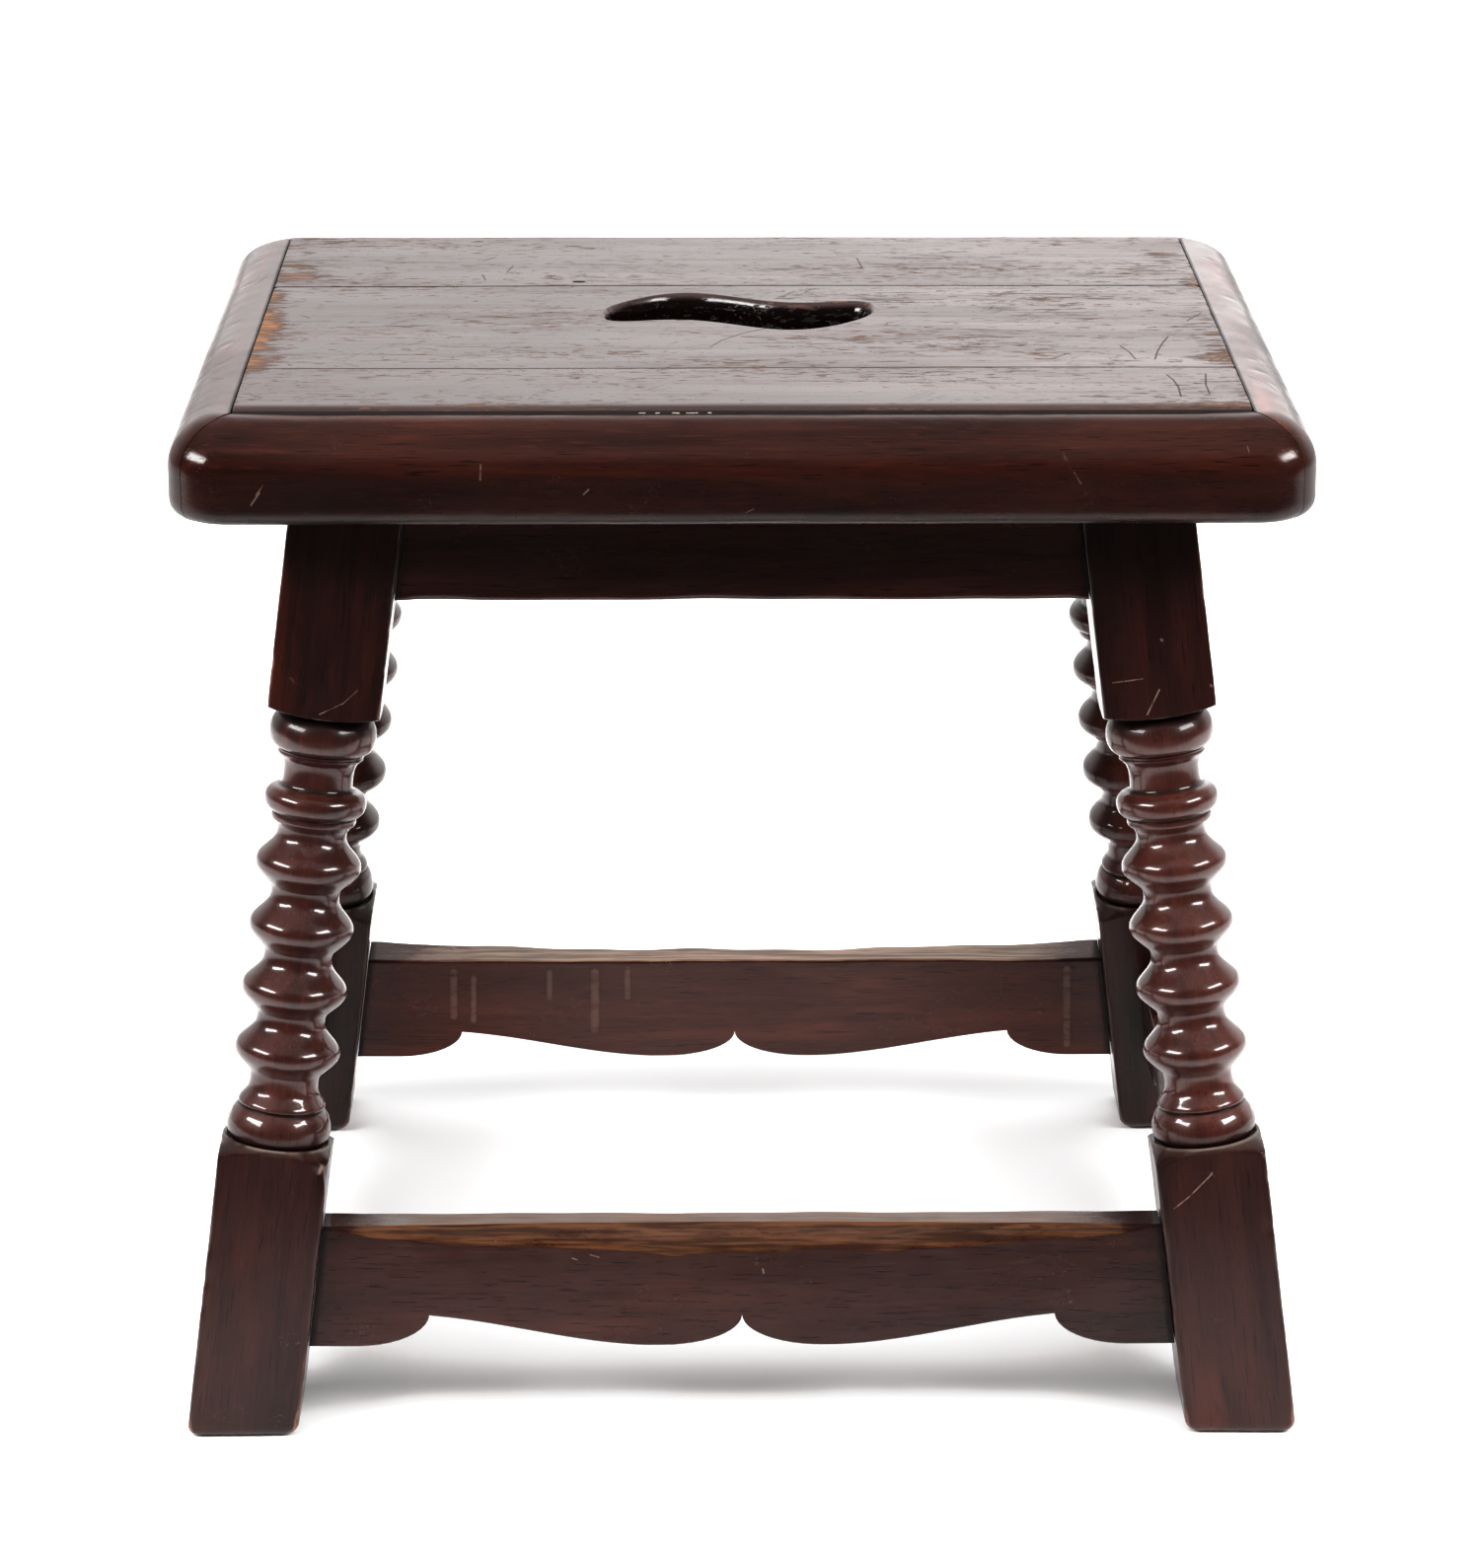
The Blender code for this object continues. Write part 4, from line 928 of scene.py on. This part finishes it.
def polished_wood(
    name, dark, brown, red, worn, gloss, relief=1.0, red_share=0.6, marks=(), mark_share=0.6,
    coat=0.0, mirror=0.5,
):
    """Stained, French-polished hardwood that has been handled for a long time.

    Reads the grain's direction, worn edges, seams darkened with dirt and painted shade, and bare
    faces from the mesh."""
    g = Graph(bpy.data.materials.new(name))
    grain = g.read("grain", "Vector")
    wear, dirt, raw, turned = (g.read(part) for part in ("wear", "dirt", "raw", "turned"))

    streaks = g.fibres(grain, 6, 90, 5, 0.6, 0.5)
    bands = g.fibres(grain, 2.5, 24, 3, 0.5, 1.0)
    clouds = g.fibres(grain, 9, 22, 3, 0.55)
    drift = g.fibres(grain, 5, 16, 2)
    fine = g.fibres(grain, 60, 900, 3, 0.6)
    pores = g.range(g.fibres(grain, 70, 1300, 2), 0.60, 0.70)
    tone = g.plus(g.times(streaks, 0.35), (bands, 0.35), (drift, 0.30))
    colour = g.blend(g.range(tone, 0.34, 0.66), dark, brown)
    patches = g.times(g.range(clouds, 0.50, 0.72), g.range(streaks, 0.40, 0.64))
    patches = g.times(patches, g.range(drift, 0.35, 0.60, 0.35, 1.4))
    colour = g.tint(colour, patches, red_share, red)
    colour = g.tint(colour, g.range(fine, 0.5, 0.8), 0.22, red)
    colour = g.tint(colour, pores, 0.6, tuple(0.3 * v for v in dark))
    # The turning takes a lighter copy of the colour than the square blocks: painted light
    colour = g.blend(turned, colour, (2.25, 2.2, 2.2), "MULTIPLY")

    rub = g.fibres(grain, 70, 260, 5, 0.7)
    rub_wide = g.fibres(grain, 22, 48, 3, 0.6)
    worn_mask = g.range(g.plus(wear, (rub, 0.7), (rub_wide, 0.7)), 1.22, 1.62)
    worn_mask = g.times(worn_mask, g.range(wear, 0.02, 0.3))
    threads = g.range(g.fibres(grain, 16, 520, 4, 0.65), 0.40, 0.60)
    worn_tone = g.blend(threads, tuple(0.35 * v for v in worn), worn)
    colour = g.tint(colour, worn_mask, 0.85, worn_tone)
    # Darkens towards near black: dirt in the joints, and painted shade in grooves, bores, under
    # the seat and low on the edging
    grime_and_shade = g.range(g.plus(dirt, (rub_wide, 0.3)), 0.35, 0.95)
    colour = g.tint(colour, grime_and_shade, 0.85, (0.0035, 0.002, 0.0016))
    dust = g.times(g.read("dust"), g.range(rub_wide, 0.35, 0.55))
    colour = g.tint(colour, dust, 0.75, (0.19, 0.155, 0.13))
    scratch = g.times(sparse_scratches(g, grain, (0.4, 0.5, 1.1), 300, 3.1), 0.2)
    if marks:
        broken = g.range(rub, 0.34, 0.56, 0.15, 1.0)
        scratch = g.most(scratch, g.times(strokes(g, marks), broken))
    colour = g.tint(colour, scratch, mark_share, (0.30, 0.21, 0.16))
    colour = g.blend(raw, colour, g.blend(g.range(tone, 0.35, 0.65), *BARE_WOOD_TONES))
    g.give("Base Color", colour)

    rough = g.range(g.fibres(grain, 20, 34, 4, 0.65), 0.3, 0.75, *gloss)
    g.give("Roughness", g.plus(
        rough, (worn_mask, 0.18), (grime_and_shade, 0.25), (dust, 0.4), (scratch, 0.25), (raw, 0.45),
        clamp=True,
    ))
    g.give("IOR", 1.5)
    g.give("Specular IOR Level", mirror - 0.25 * coat)
    if coat:
        g.give("Coat Weight", g.range(turned, 0, 1, 0.45 * coat, coat))
    g.give("Coat Roughness", 0.07)

    cells = {"Vector": g.scaled(grain, (420, 560, 560)), "Scale": 1.0}
    cells = g.node("TexVoronoi", "Distance", cells, feature="DISTANCE_TO_EDGE")
    cracks = g.math("SUBTRACT", g.range(cells, 0.0, 0.12), 1.0)
    cracks = g.times(cracks, g.range(g.noise(grain, 34, 2), 0.68, 0.76))
    peel = g.noise(grain, 230, 1, 0.4)
    g.bump(g.plus(
        g.times(peel, 0.16 * relief), (streaks, 0.20 * relief),
        (g.fibres(grain, 12, 16, 1), 0.8 * relief), (pores, -0.10), (cracks, 0.04),
        (worn_mask, -0.30), (scratch, -0.25),
    ), 0.00020, 0.9)
    return g.owner


def board_wood(name):
    """The seat boards: a dulled polish with dark flecks and places worn to bare wood."""
    g = Graph(bpy.data.materials.new(name))
    grain = g.read("grain", "Vector")
    wear, dirt, raw, black = (g.read(part) for part in ("wear", "dirt", "raw", "black"))

    bands = g.fibres(grain, 2.2, 55, 3, 0.55, 0.6)
    streaks = g.fibres(grain, 9, 260, 4, 0.6)
    colour = g.blend(g.range(bands, 0.30, 0.70), (0.042, 0.028, 0.027), (0.058, 0.039, 0.037))
    colour = g.tint(colour, g.range(streaks, 0.4, 0.7), 0.45, (0.085, 0.048, 0.036))

    # Short dark flecks where the grain is open, thicker in some parts of the seat
    crowd = g.fibres(grain, 9, 28, 3, 0.6)
    flecks = g.range(g.plus(g.fibres(grain, 120, 560, 3, 0.62), (crowd, 0.35)), 0.785, 0.835)
    hairs = g.range(g.fibres(grain, 24, 620, 2, 0.55), 0.63, 0.70)
    hairs = g.times(hairs, g.range(crowd, 0.40, 0.58))

    rub = g.fibres(grain, 75, 520, 4, 0.68)
    ragged = g.plus(g.times(rub, 2.6), (g.fibres(grain, 34, 90, 3, 0.6), 1.4))
    worn_at = g.math("ADD", wear, g.math("SUBTRACT", ragged, 2.0))
    touched = g.range(wear, 0.03, 0.3)
    worn_mask = g.times(g.range(worn_at, 0.66, 0.82), touched)
    golden_mask = g.times(g.range(worn_at, 0.98, 1.30), touched)
    golden = g.blend(g.range(rub, 0.36, 0.60), (0.12, 0.058, 0.034), (0.27, 0.135, 0.062))
    # Darkens dirty joints, and as painted shade the gap along the lip and the boards' hidden
    # sides
    grime_and_shade = g.range(g.plus(dirt, (rub, 0.35)), 0.50, 0.95)
    scratch = g.most(
        sparse_scratches(g, grain, (0.0, 0.0, 0.9), 420, 2.3),
        sparse_scratches(g, grain, (0.0, 0.0, 2.2), 360, 5.9),
    )
    scratch = g.most(scratch, strokes(g, SEAT_SCRATCHES, SEAT_HEIGHT))
    nail = strokes(g, NAIL_HOLE, SEAT_HEIGHT)
    for mask, amount, tone in (
        (worn_mask, 0.85, (0.105, 0.062, 0.048)), (golden_mask, 0.9, golden),
        (flecks, 0.8, (0.125, 0.060, 0.036)), (hairs, 0.7, (0.055, 0.026, 0.017)),
        (grime_and_shade, 0.9, (0.010, 0.005, 0.004)), (scratch, 0.5, (0.034, 0.016, 0.011)),
        (strokes(g, PALE_CHIPS), 1.0, (0.38, 0.32, 0.28)), (nail, 1.0, (0.002, 0.001, 0.001)),
        # The hand hole's painted shade, near black
        (black, 1.0, (0.006, 0.0025, 0.002)),
    ):
        colour = g.tint(colour, mask, amount, tone)
    colour = g.blend(raw, colour, g.blend(g.range(bands, 0.35, 0.65), *BARE_WOOD_TONES))
    g.give("Base Color", colour)

    rough = g.range(g.fibres(grain, 7, 40, 4, 0.6), 0.3, 0.7, 0.25, 0.295)
    rough = g.plus(
        rough, (g.range(streaks, 0.45, 0.75), 0.08), (flecks, 0.45), (hairs, 0.35),
        (worn_mask, 0.5), (grime_and_shade, 0.4), (scratch, 0.3), (nail, 0.6), (raw, 0.4), (black, -0.16),
    )
    g.give("Roughness", g.math("MINIMUM", g.most(rough, 0.10), 0.9))
    g.give("IOR", 1.5)
    g.bump(g.plus(
        g.times(g.noise(grain, 260, 2), 0.10), (streaks, 0.11), (flecks, -0.55), (hairs, -0.35),
        (worn_mask, -0.22), (scratch, -0.6), (nail, -5.0),
    ), 0.00018, 0.8)
    return g.owner


# Marks that stand out in the photo: a width, then the points of a line. The first two
# lists are on the seat's top, and the third has pale chips along the front board's lip
SEAT_SCRATCHES = (
    (0.5, (177.4, -37.7), (173.8, -49.7), (170.6, -63.3), (168.4, -76.7)),
    (0.55, (170.7, -103.1), (172.5, -111.2), (173.5, -122.4), (173.1, -138.3)),
    (0.45, (-12.2, -55.3), (-7.2, -43.4), (1.1, -31.3), (10.6, -22.7), (17.7, -19.2)),
    (0.45, (156.1, -53.0), (159.1, -64.9), (160.5, -76.7)),
    (0.5, (186.5, -101.6), (184.8, -119.3), (184.9, -133.6)),
    (0.5, (187.9, -9.7), (191.5, -2.6), (195.1, 4.5)),
    (0.5, (-98.0, 94.3), (-100.2, 82.7)),
    (0.5, (-110.7, 77.0), (-109.1, 67.4)),
    (0.5, (53.2, 109.0), (55.1, 89.4)),
)
NAIL_HOLE = ((2.1, (-69.7, 63.4), (-67.2, 63.4)),)
PALE_CHIPS = (
    (0.3, (-40.5, -154.2, 427.9), (-38.2, -154.2, 427.9)),
    (0.35, (-34.0, -154.2, 427.8), (-32.6, -154.2, 427.9)),
    (0.35, (-27.5, -154.2, 427.9), (-24.9, -154.2, 427.8)),
    (0.3, (-22.0, -154.2, 427.8), (-17.6, -154.2, 427.9)),
    (0.35, (-13.5, -154.2, 427.9), (-12.4, -154.2, 427.9)),
)
EDGING_SCRATCHES = (
    (0.55, (-101.6, -178, 419), (-102, -180, 408)), (0.5, (-191, -180, 398), (-187.5, -180, 403)),
    (0.35, (-189, -180, 402), (-186, -180, 406)), (0.6, (-20, -175, 421), (-18.5, -177, 418)),
    (0.45, (128, -180, 411), (131, -180, 406)), (0.5, (-62, -180, 402), (-60, -180, 404)),
    (0.5, (195, -174, 422), (196.5, -178, 417)), (0.35, (0, -180, 394), (4, -180, 396)),
    (1.0, (204, -98, 428), (211, -106, 427)), (0.9, (211, -106, 427), (217, -118, 425)),
    (0.9, (-206, -30, 428), (-211, -44, 427)), (0.9, (-207, -62, 428), (-213, -70, 426.5)),
    (1.1, (-209, 70, 428), (-205, 84, 428)), (0.9, (-213, -92, 426), (-208, -99, 428)),
)
LEG_SCRATCHES = (
    (1.5, (-173, -170.6, 113), (-170.6, -169.5, 116.5)),
    (0.4, (-169, -150.3, 303), (-159.4, -149.8, 307.4), (-153.8, -149.2, 312.5)),
    (0.3, (-153.8, -149.2, 312.5), (-152.2, -148.9, 315.7)),
    (0.45, (148.3, -148.9, 315), (160.1, -148.8, 316.6)),
    (0.5, (166.9, -149.3, 312.2), (162.3, -150.4, 302.2)),
    (0.5, (176.8, -174.2, 97.1), (182.8, -173.6, 102.1)),
    (0.4, (182.8, -173.6, 102.1), (191.9, -172.5, 111.7)),
    (0.9, (191.9, -172.5, 111.7), (192.1, -172.4, 112.2)),
    (0.8, (167.3, -146.9, 332.5), (167.7, -147, 332.1)),
    (0.8, (187.4, -149, 314.1), (187.8, -149.1, 313.7)),
)
RAIL_SCRATCHES = (
    (0.4, (8.5, -169.4, 68.7), (8.9, -169.5, 66.9)),
    (0.4, (-62.5, -168.6, 75), (-59, -168.7, 74)),
    (0.6, (-101, -167.7, 83.4), (-101.3, -167.9, 81)),
    (0.4, (-69.9, -168.9, 73.6), (-68, -169, 73)),
)

# Pale drips that ran down the back stretcher's inner face
DRIP_STAINS = (
    (2.2, (-132.5, 147.1, 78.8), (-133.0, 149.8, 55.2)),
    (1.8, (-123.2, 147.4, 76.1), (-123.7, 150.1, 53.1)),
    (1.6, (-87.3, 147.1, 78.6), (-87.6, 148.7, 64.5)),
    (2.4, (-65.9, 147.1, 78.6), (-66.3, 150.6, 48.2)),
    (1.8, (-50.6, 146.9, 80.1), (-50.7, 148.6, 65.4)),
    (2.2, (156.7, 147.0, 79.4), (157.9, 151.6, 39.5)),
)

BOARD_WOOD = board_wood("seat_board_polish")
EDGING_WOOD = polished_wood(
    "edging_polish",
    (0.016, 0.0053, 0.0040), (0.057, 0.0182, 0.0122), (0.155, 0.039, 0.018),
    (0.30, 0.115, 0.050), (0.13, 0.26), relief=0.85, red_share=0.42, mirror=0.43,
    marks=EDGING_SCRATCHES, mark_share=0.42,
)
LEG_WOOD = polished_wood(
    "leg_polish",
    (0.0130, 0.0047, 0.0038), (0.041, 0.0142, 0.0108), (0.11, 0.029, 0.017),
    (0.30, 0.115, 0.060), (0.28, 0.40), relief=0.35, red_share=0.30, coat=0.80,
    marks=LEG_SCRATCHES,
)
RAIL_WOOD = polished_wood(
    "rail_polish",
    (0.0145, 0.0052, 0.0041), (0.042, 0.0145, 0.0108), (0.10, 0.031, 0.018),
    (0.140, 0.064, 0.030), (0.16, 0.30), relief=0.8, red_share=0.35, mirror=0.44,
    marks=RAIL_SCRATCHES,
)
# The aprons take a lighter copy of the rail colours, as painted light for the shade under the
# seat
APRON_PAINTED_LIGHT_WOOD = polished_wood(
    "apron_polish_painted_light",
    (0.030, 0.0115, 0.0095), (0.080, 0.0310, 0.0245), (0.15, 0.052, 0.033),
    (0.165, 0.074, 0.034), (0.16, 0.30), relief=0.8, red_share=0.35,
)
# The back stretcher takes a lighter copy of the rail colours, as painted light for the shade it
# stands in; the pale wear on its top edge is worn wood and painted highlight
BACK_STRETCHER_PAINTED_LIGHT_WOOD = polished_wood(
    "back_stretcher_polish_painted_light",
    (0.030, 0.0095, 0.0070), (0.090, 0.0290, 0.0200), (0.18, 0.052, 0.028),
    (0.34, 0.235, 0.175), (0.16, 0.30), relief=0.8, red_share=0.4,
    marks=DRIP_STAINS, mark_share=0.26,
)


def bare_wood(name):
    """Plain unfinished softwood of the hidden tongues."""
    g = Graph(bpy.data.materials.new(name))
    grain = g.fibres(g.place(), 30, 160, 5, 0.6)
    g.give("Base Color", g.blend(
        g.range(grain, 0.3, 0.7), (0.20, 0.115, 0.06), (0.42, 0.27, 0.15)
    ))
    g.give("Roughness", g.range(grain, 0.2, 0.8, 0.62, 0.85))
    g.bump(grain, 0.0002)
    return g.owner


def aged_steel(name):
    """Dull steel of the slotted screws, with brown spots."""
    g = Graph(bpy.data.materials.new(name))
    spots = g.noise(g.place(), 900, 4, 0.6)
    rust = g.range(spots, 0.48, 0.66)
    g.give("Base Color", g.blend(rust, (0.30, 0.28, 0.26), (0.11, 0.045, 0.02)))
    g.give("Metallic", g.range(rust, 0.0, 1.0, 1.0, 0.2))
    g.give("Roughness", g.range(spots, 0.3, 0.7, 0.32, 0.75))
    g.bump(spots, 0.00008)
    return g.owner


# Pieces

for number, corner in enumerate(LEGS):
    node = "leg_" + corner
    add_piece(leg_mesh(node, corner, number + 1), LEG_WOOD, "leg_wood", node)

for number, side in enumerate(SIDES):
    node = "stretcher_" + side
    wood = BACK_STRETCHER_PAINTED_LIGHT_WOOD if side == "back" else RAIL_WOOD
    add_piece(stretcher_mesh(node, side, number + 3), wood, "rail_wood", node)
    node = "apron_" + side
    add_piece(apron_mesh(node, side, number + 8), APRON_PAINTED_LIGHT_WOOD, "rail_wood", node)
    node = "seat_edging_" + side
    add_piece(edging_mesh(node, side, number + 11), EDGING_WOOD, "edging_wood", node)

BOARDS = {
    "seat_board_front": (board_mesh, -BOARDS_HALF_Y - FIT / 2, FRONT_JOINT_Y, 21),
    "seat_board_back": (board_mesh, BACK_JOINT_Y, BOARDS_HALF_Y + FIT / 2, 22),
    "seat_board_middle": (middle_board_mesh, 23),
}
for node, (build, *details) in BOARDS.items():
    add_piece(build(node, *details), BOARD_WOOD, "seat_board_wood", node)

TONGUE_WOOD = bare_wood("tongue_bare_wood")
SCREW_STEEL = aged_steel("screw_aged_steel")
for node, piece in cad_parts.items():
    if "tongue" in node:
        piece.material_slots[0].material = TONGUE_WOOD
    elif "screw" in node:
        piece.material_slots[0].material = SCREW_STEEL


# Studio


# Sizes and heights of the stage are in metres
FLOOR_HALF = 14.0
DOME_RADIUS = 13.5
PALE = (0.92, 0.92, 0.92)
DOME_TONE = (0.98, 0.98, 1.0)

# The world's light. The pairs are of the direction's Y, towards the back, or its Z,
# upwards, first where the light is nothing and then where it is full
BACKDROP_SIDES = (0.10, 0.60)
BACKDROP_HEIGHT = (0.85, 0.24)
BACKDROP_LIGHT = 1.55
ROOM_LIGHT = 0.09
CEILING_HEIGHT = (0.60, 0.92)
CEILING_LIGHT = 0.42


def add_stage(name, mesh):
    """Adds a piece of the stage, and returns it with the graph of its material."""
    thing = bpy.data.objects.new(name, mesh)
    bpy.context.scene.collection.objects.link(thing)
    g = Graph(bpy.data.materials.new(name))
    mesh.materials.append(g.owner)
    return thing, g


def add_floor(name, height):
    """A square matt floor at one height."""
    mesh = bpy.data.meshes.new(name)
    a = FLOOR_HALF
    mesh.from_pydata([(x, y, height) for x, y in ((-a, -a), (a, -a), (a, a), (-a, a))], [],
                     [(0, 1, 2, 3)])
    floor, g = add_stage(name, mesh)
    g.give("Roughness", 0.55)
    g.give("Specular IOR Level", 0.3)
    return floor, g


def only_for_camera(thing):
    """Shows a stage piece to the camera and keeps it out of light and reflections."""
    thing.visible_diffuse = False
    thing.visible_glossy = False
    thing.visible_transmission = False
    thing.visible_shadow = False


def studio_floor():
    """The plain pale floor that the camera sees, and just under it the floor that lights
    and mirrors the stool, which darkens well in front of it like the photo's room."""
    pale, g = add_floor("studio_floor", 0.0)
    g.give("Base Color", PALE)
    # Far away, where the lamps hardly reach, the floor glows as pale as the dome
    away = g.vector("LENGTH", g.place(), result=1)
    g.give("Emission Color", DOME_TONE)
    g.give("Emission Strength", g.range(away, 1.0, 3.5, 0, 0.62))
    only_for_camera(pale)

    room, g = add_floor("room_floor", -0.0005)
    # The room floor's colour darkens in front of the stool as painted shade, for the room's dim
    # light there
    near = g.range(g.node("SeparateXYZ", "Y", {0: g.place()}), -0.80, -0.30)
    g.give("Base Color", g.blend(near, (0.12, 0.12, 0.125), PALE))
    room.visible_camera = False


def studio_backdrop():
    """A plain pale dome round the floor, for views that look level across it."""
    mesh = bpy.data.meshes.new("studio_backdrop")
    shape = bmesh.new()
    bmesh.ops.create_uvsphere(shape, u_segments=48, v_segments=24, radius=DOME_RADIUS)
    shape.to_mesh(mesh)
    shape.free()
    mesh.shade_smooth()
    dome, g = add_stage("studio_backdrop", mesh)
    g.give("Base Color", (0.0, 0.0, 0.0))
    g.give("Specular IOR Level", 0.0)
    g.give("Emission Color", DOME_TONE)
    g.give("Emission Strength", 0.66)
    only_for_camera(dome)


def studio_world():
    """A white backdrop low behind and beside the stool, and a dim room elsewhere."""
    world = bpy.data.worlds.new("studio")
    bpy.context.scene.world = world
    g = Graph(world, "Background")
    direction = g.place("Generated")
    x, y, z = (g.node("SeparateXYZ", axis, {0: direction}) for axis in range(3))
    light = g.times(g.range(y, *BACKDROP_SIDES), g.range(z, *BACKDROP_HEIGHT))
    # Brighter to the right, dimmer far to the sides and low down
    light = g.times(light, g.range(x, -0.14, 0.14, 0.86, 1.20))
    light = g.times(light, g.range(g.math("ABSOLUTE", x), 0.12, 0.42, 1.0, 0.62))
    light = g.times(light, g.range(z, 0.19, 0.245, 0.84, 1.0))
    light = g.math("ADD", g.times(light, BACKDROP_LIGHT - ROOM_LIGHT), ROOM_LIGHT)
    g.give("Strength", g.math("ADD", light, g.range(z, *CEILING_HEIGHT, 0, CEILING_LIGHT)))
    g.give("Color", (1.0, 1.0, 1.0))


def softbox(name, place, target, width, height, power, seen=True):
    """A rectangular studio light; one that isn't seen leaves no highlight."""
    light = bpy.data.lights.new(name, "AREA")
    light.shape = "RECTANGLE"
    light.size, light.size_y = width, height
    light.energy = power
    lamp = bpy.data.objects.new(name, light)
    lamp.location = place
    lamp.rotation_euler = (Vector(target) - Vector(place)).to_track_quat("-Z", "Y").to_euler()
    lamp.visible_glossy = seen
    bpy.context.scene.collection.objects.link(lamp)


def photo_camera():
    """The camera that took the photo, found by fitting the CAD model to it."""
    pitch, roll, yaw = (math.radians(v) for v in (18.778, 0.06, 0.627))
    across, height, distance = 0.777, 911.723, 2028.431
    cosine, sine = math.cos(yaw), math.sin(yaw)
    place = Vector(
        (across * cosine - distance * sine, -across * sine - distance * cosine, height)
    )
    data = bpy.data.cameras.new("photo_camera")
    data.sensor_width = 36.0
    focal_pixels, photo_height = 5000, 1589
    data.lens = focal_pixels / photo_height * data.sensor_width
    data.clip_start, data.clip_end = 0.05, 50.0
    camera = bpy.data.objects.new("photo_camera", data)
    turn = (
        Matrix.Rotation(-yaw, 4, "Z")
        @ Matrix.Rotation(math.pi / 2 - pitch, 4, "X")
        @ Matrix.Rotation(roll, 4, "Z")
    )
    camera.matrix_world = Matrix.Translation(place * MM) @ turn
    bpy.context.scene.collection.objects.link(camera)
    bpy.context.scene.camera = camera


studio_floor()
studio_backdrop()
studio_world()
softbox("softbox_left", (-1.95, -1.05, 1.65), (0, 0, 0.25), 1.7, 0.62, 52)
softbox("softbox_right", (1.95, -1.05, 1.65), (0, 0, 0.25), 1.5, 0.62, 47)
softbox("overhead", (0, 0.55, 3.0), (0, 0.55, 0), 8.4, 7.4, 146, seen=False)
softbox("front_fill", (0, -1.3, 2.6), (0, -0.15, 0), 3.0, 1.8, 25, seen=False)
photo_camera()

view = bpy.context.scene.view_settings
view.view_transform = "Standard"
view.look = "None"
view.use_curve_mapping = True
tone_curve = view.curve_mapping.curves[3]
for light_in, light_out in ((0.045, 0.024), (0.20, 0.19), (0.40, 0.45), (0.56, 0.80)):
    tone_curve.points.new(light_in, light_out)
tone_curve.points[-1].location = (0.72, 1.0)
tone_curve.points[-1].handle_type = "VECTOR"
view.curve_mapping.extend = "HORIZONTAL"
view.curve_mapping.update()

bpy.context.view_layer.update()
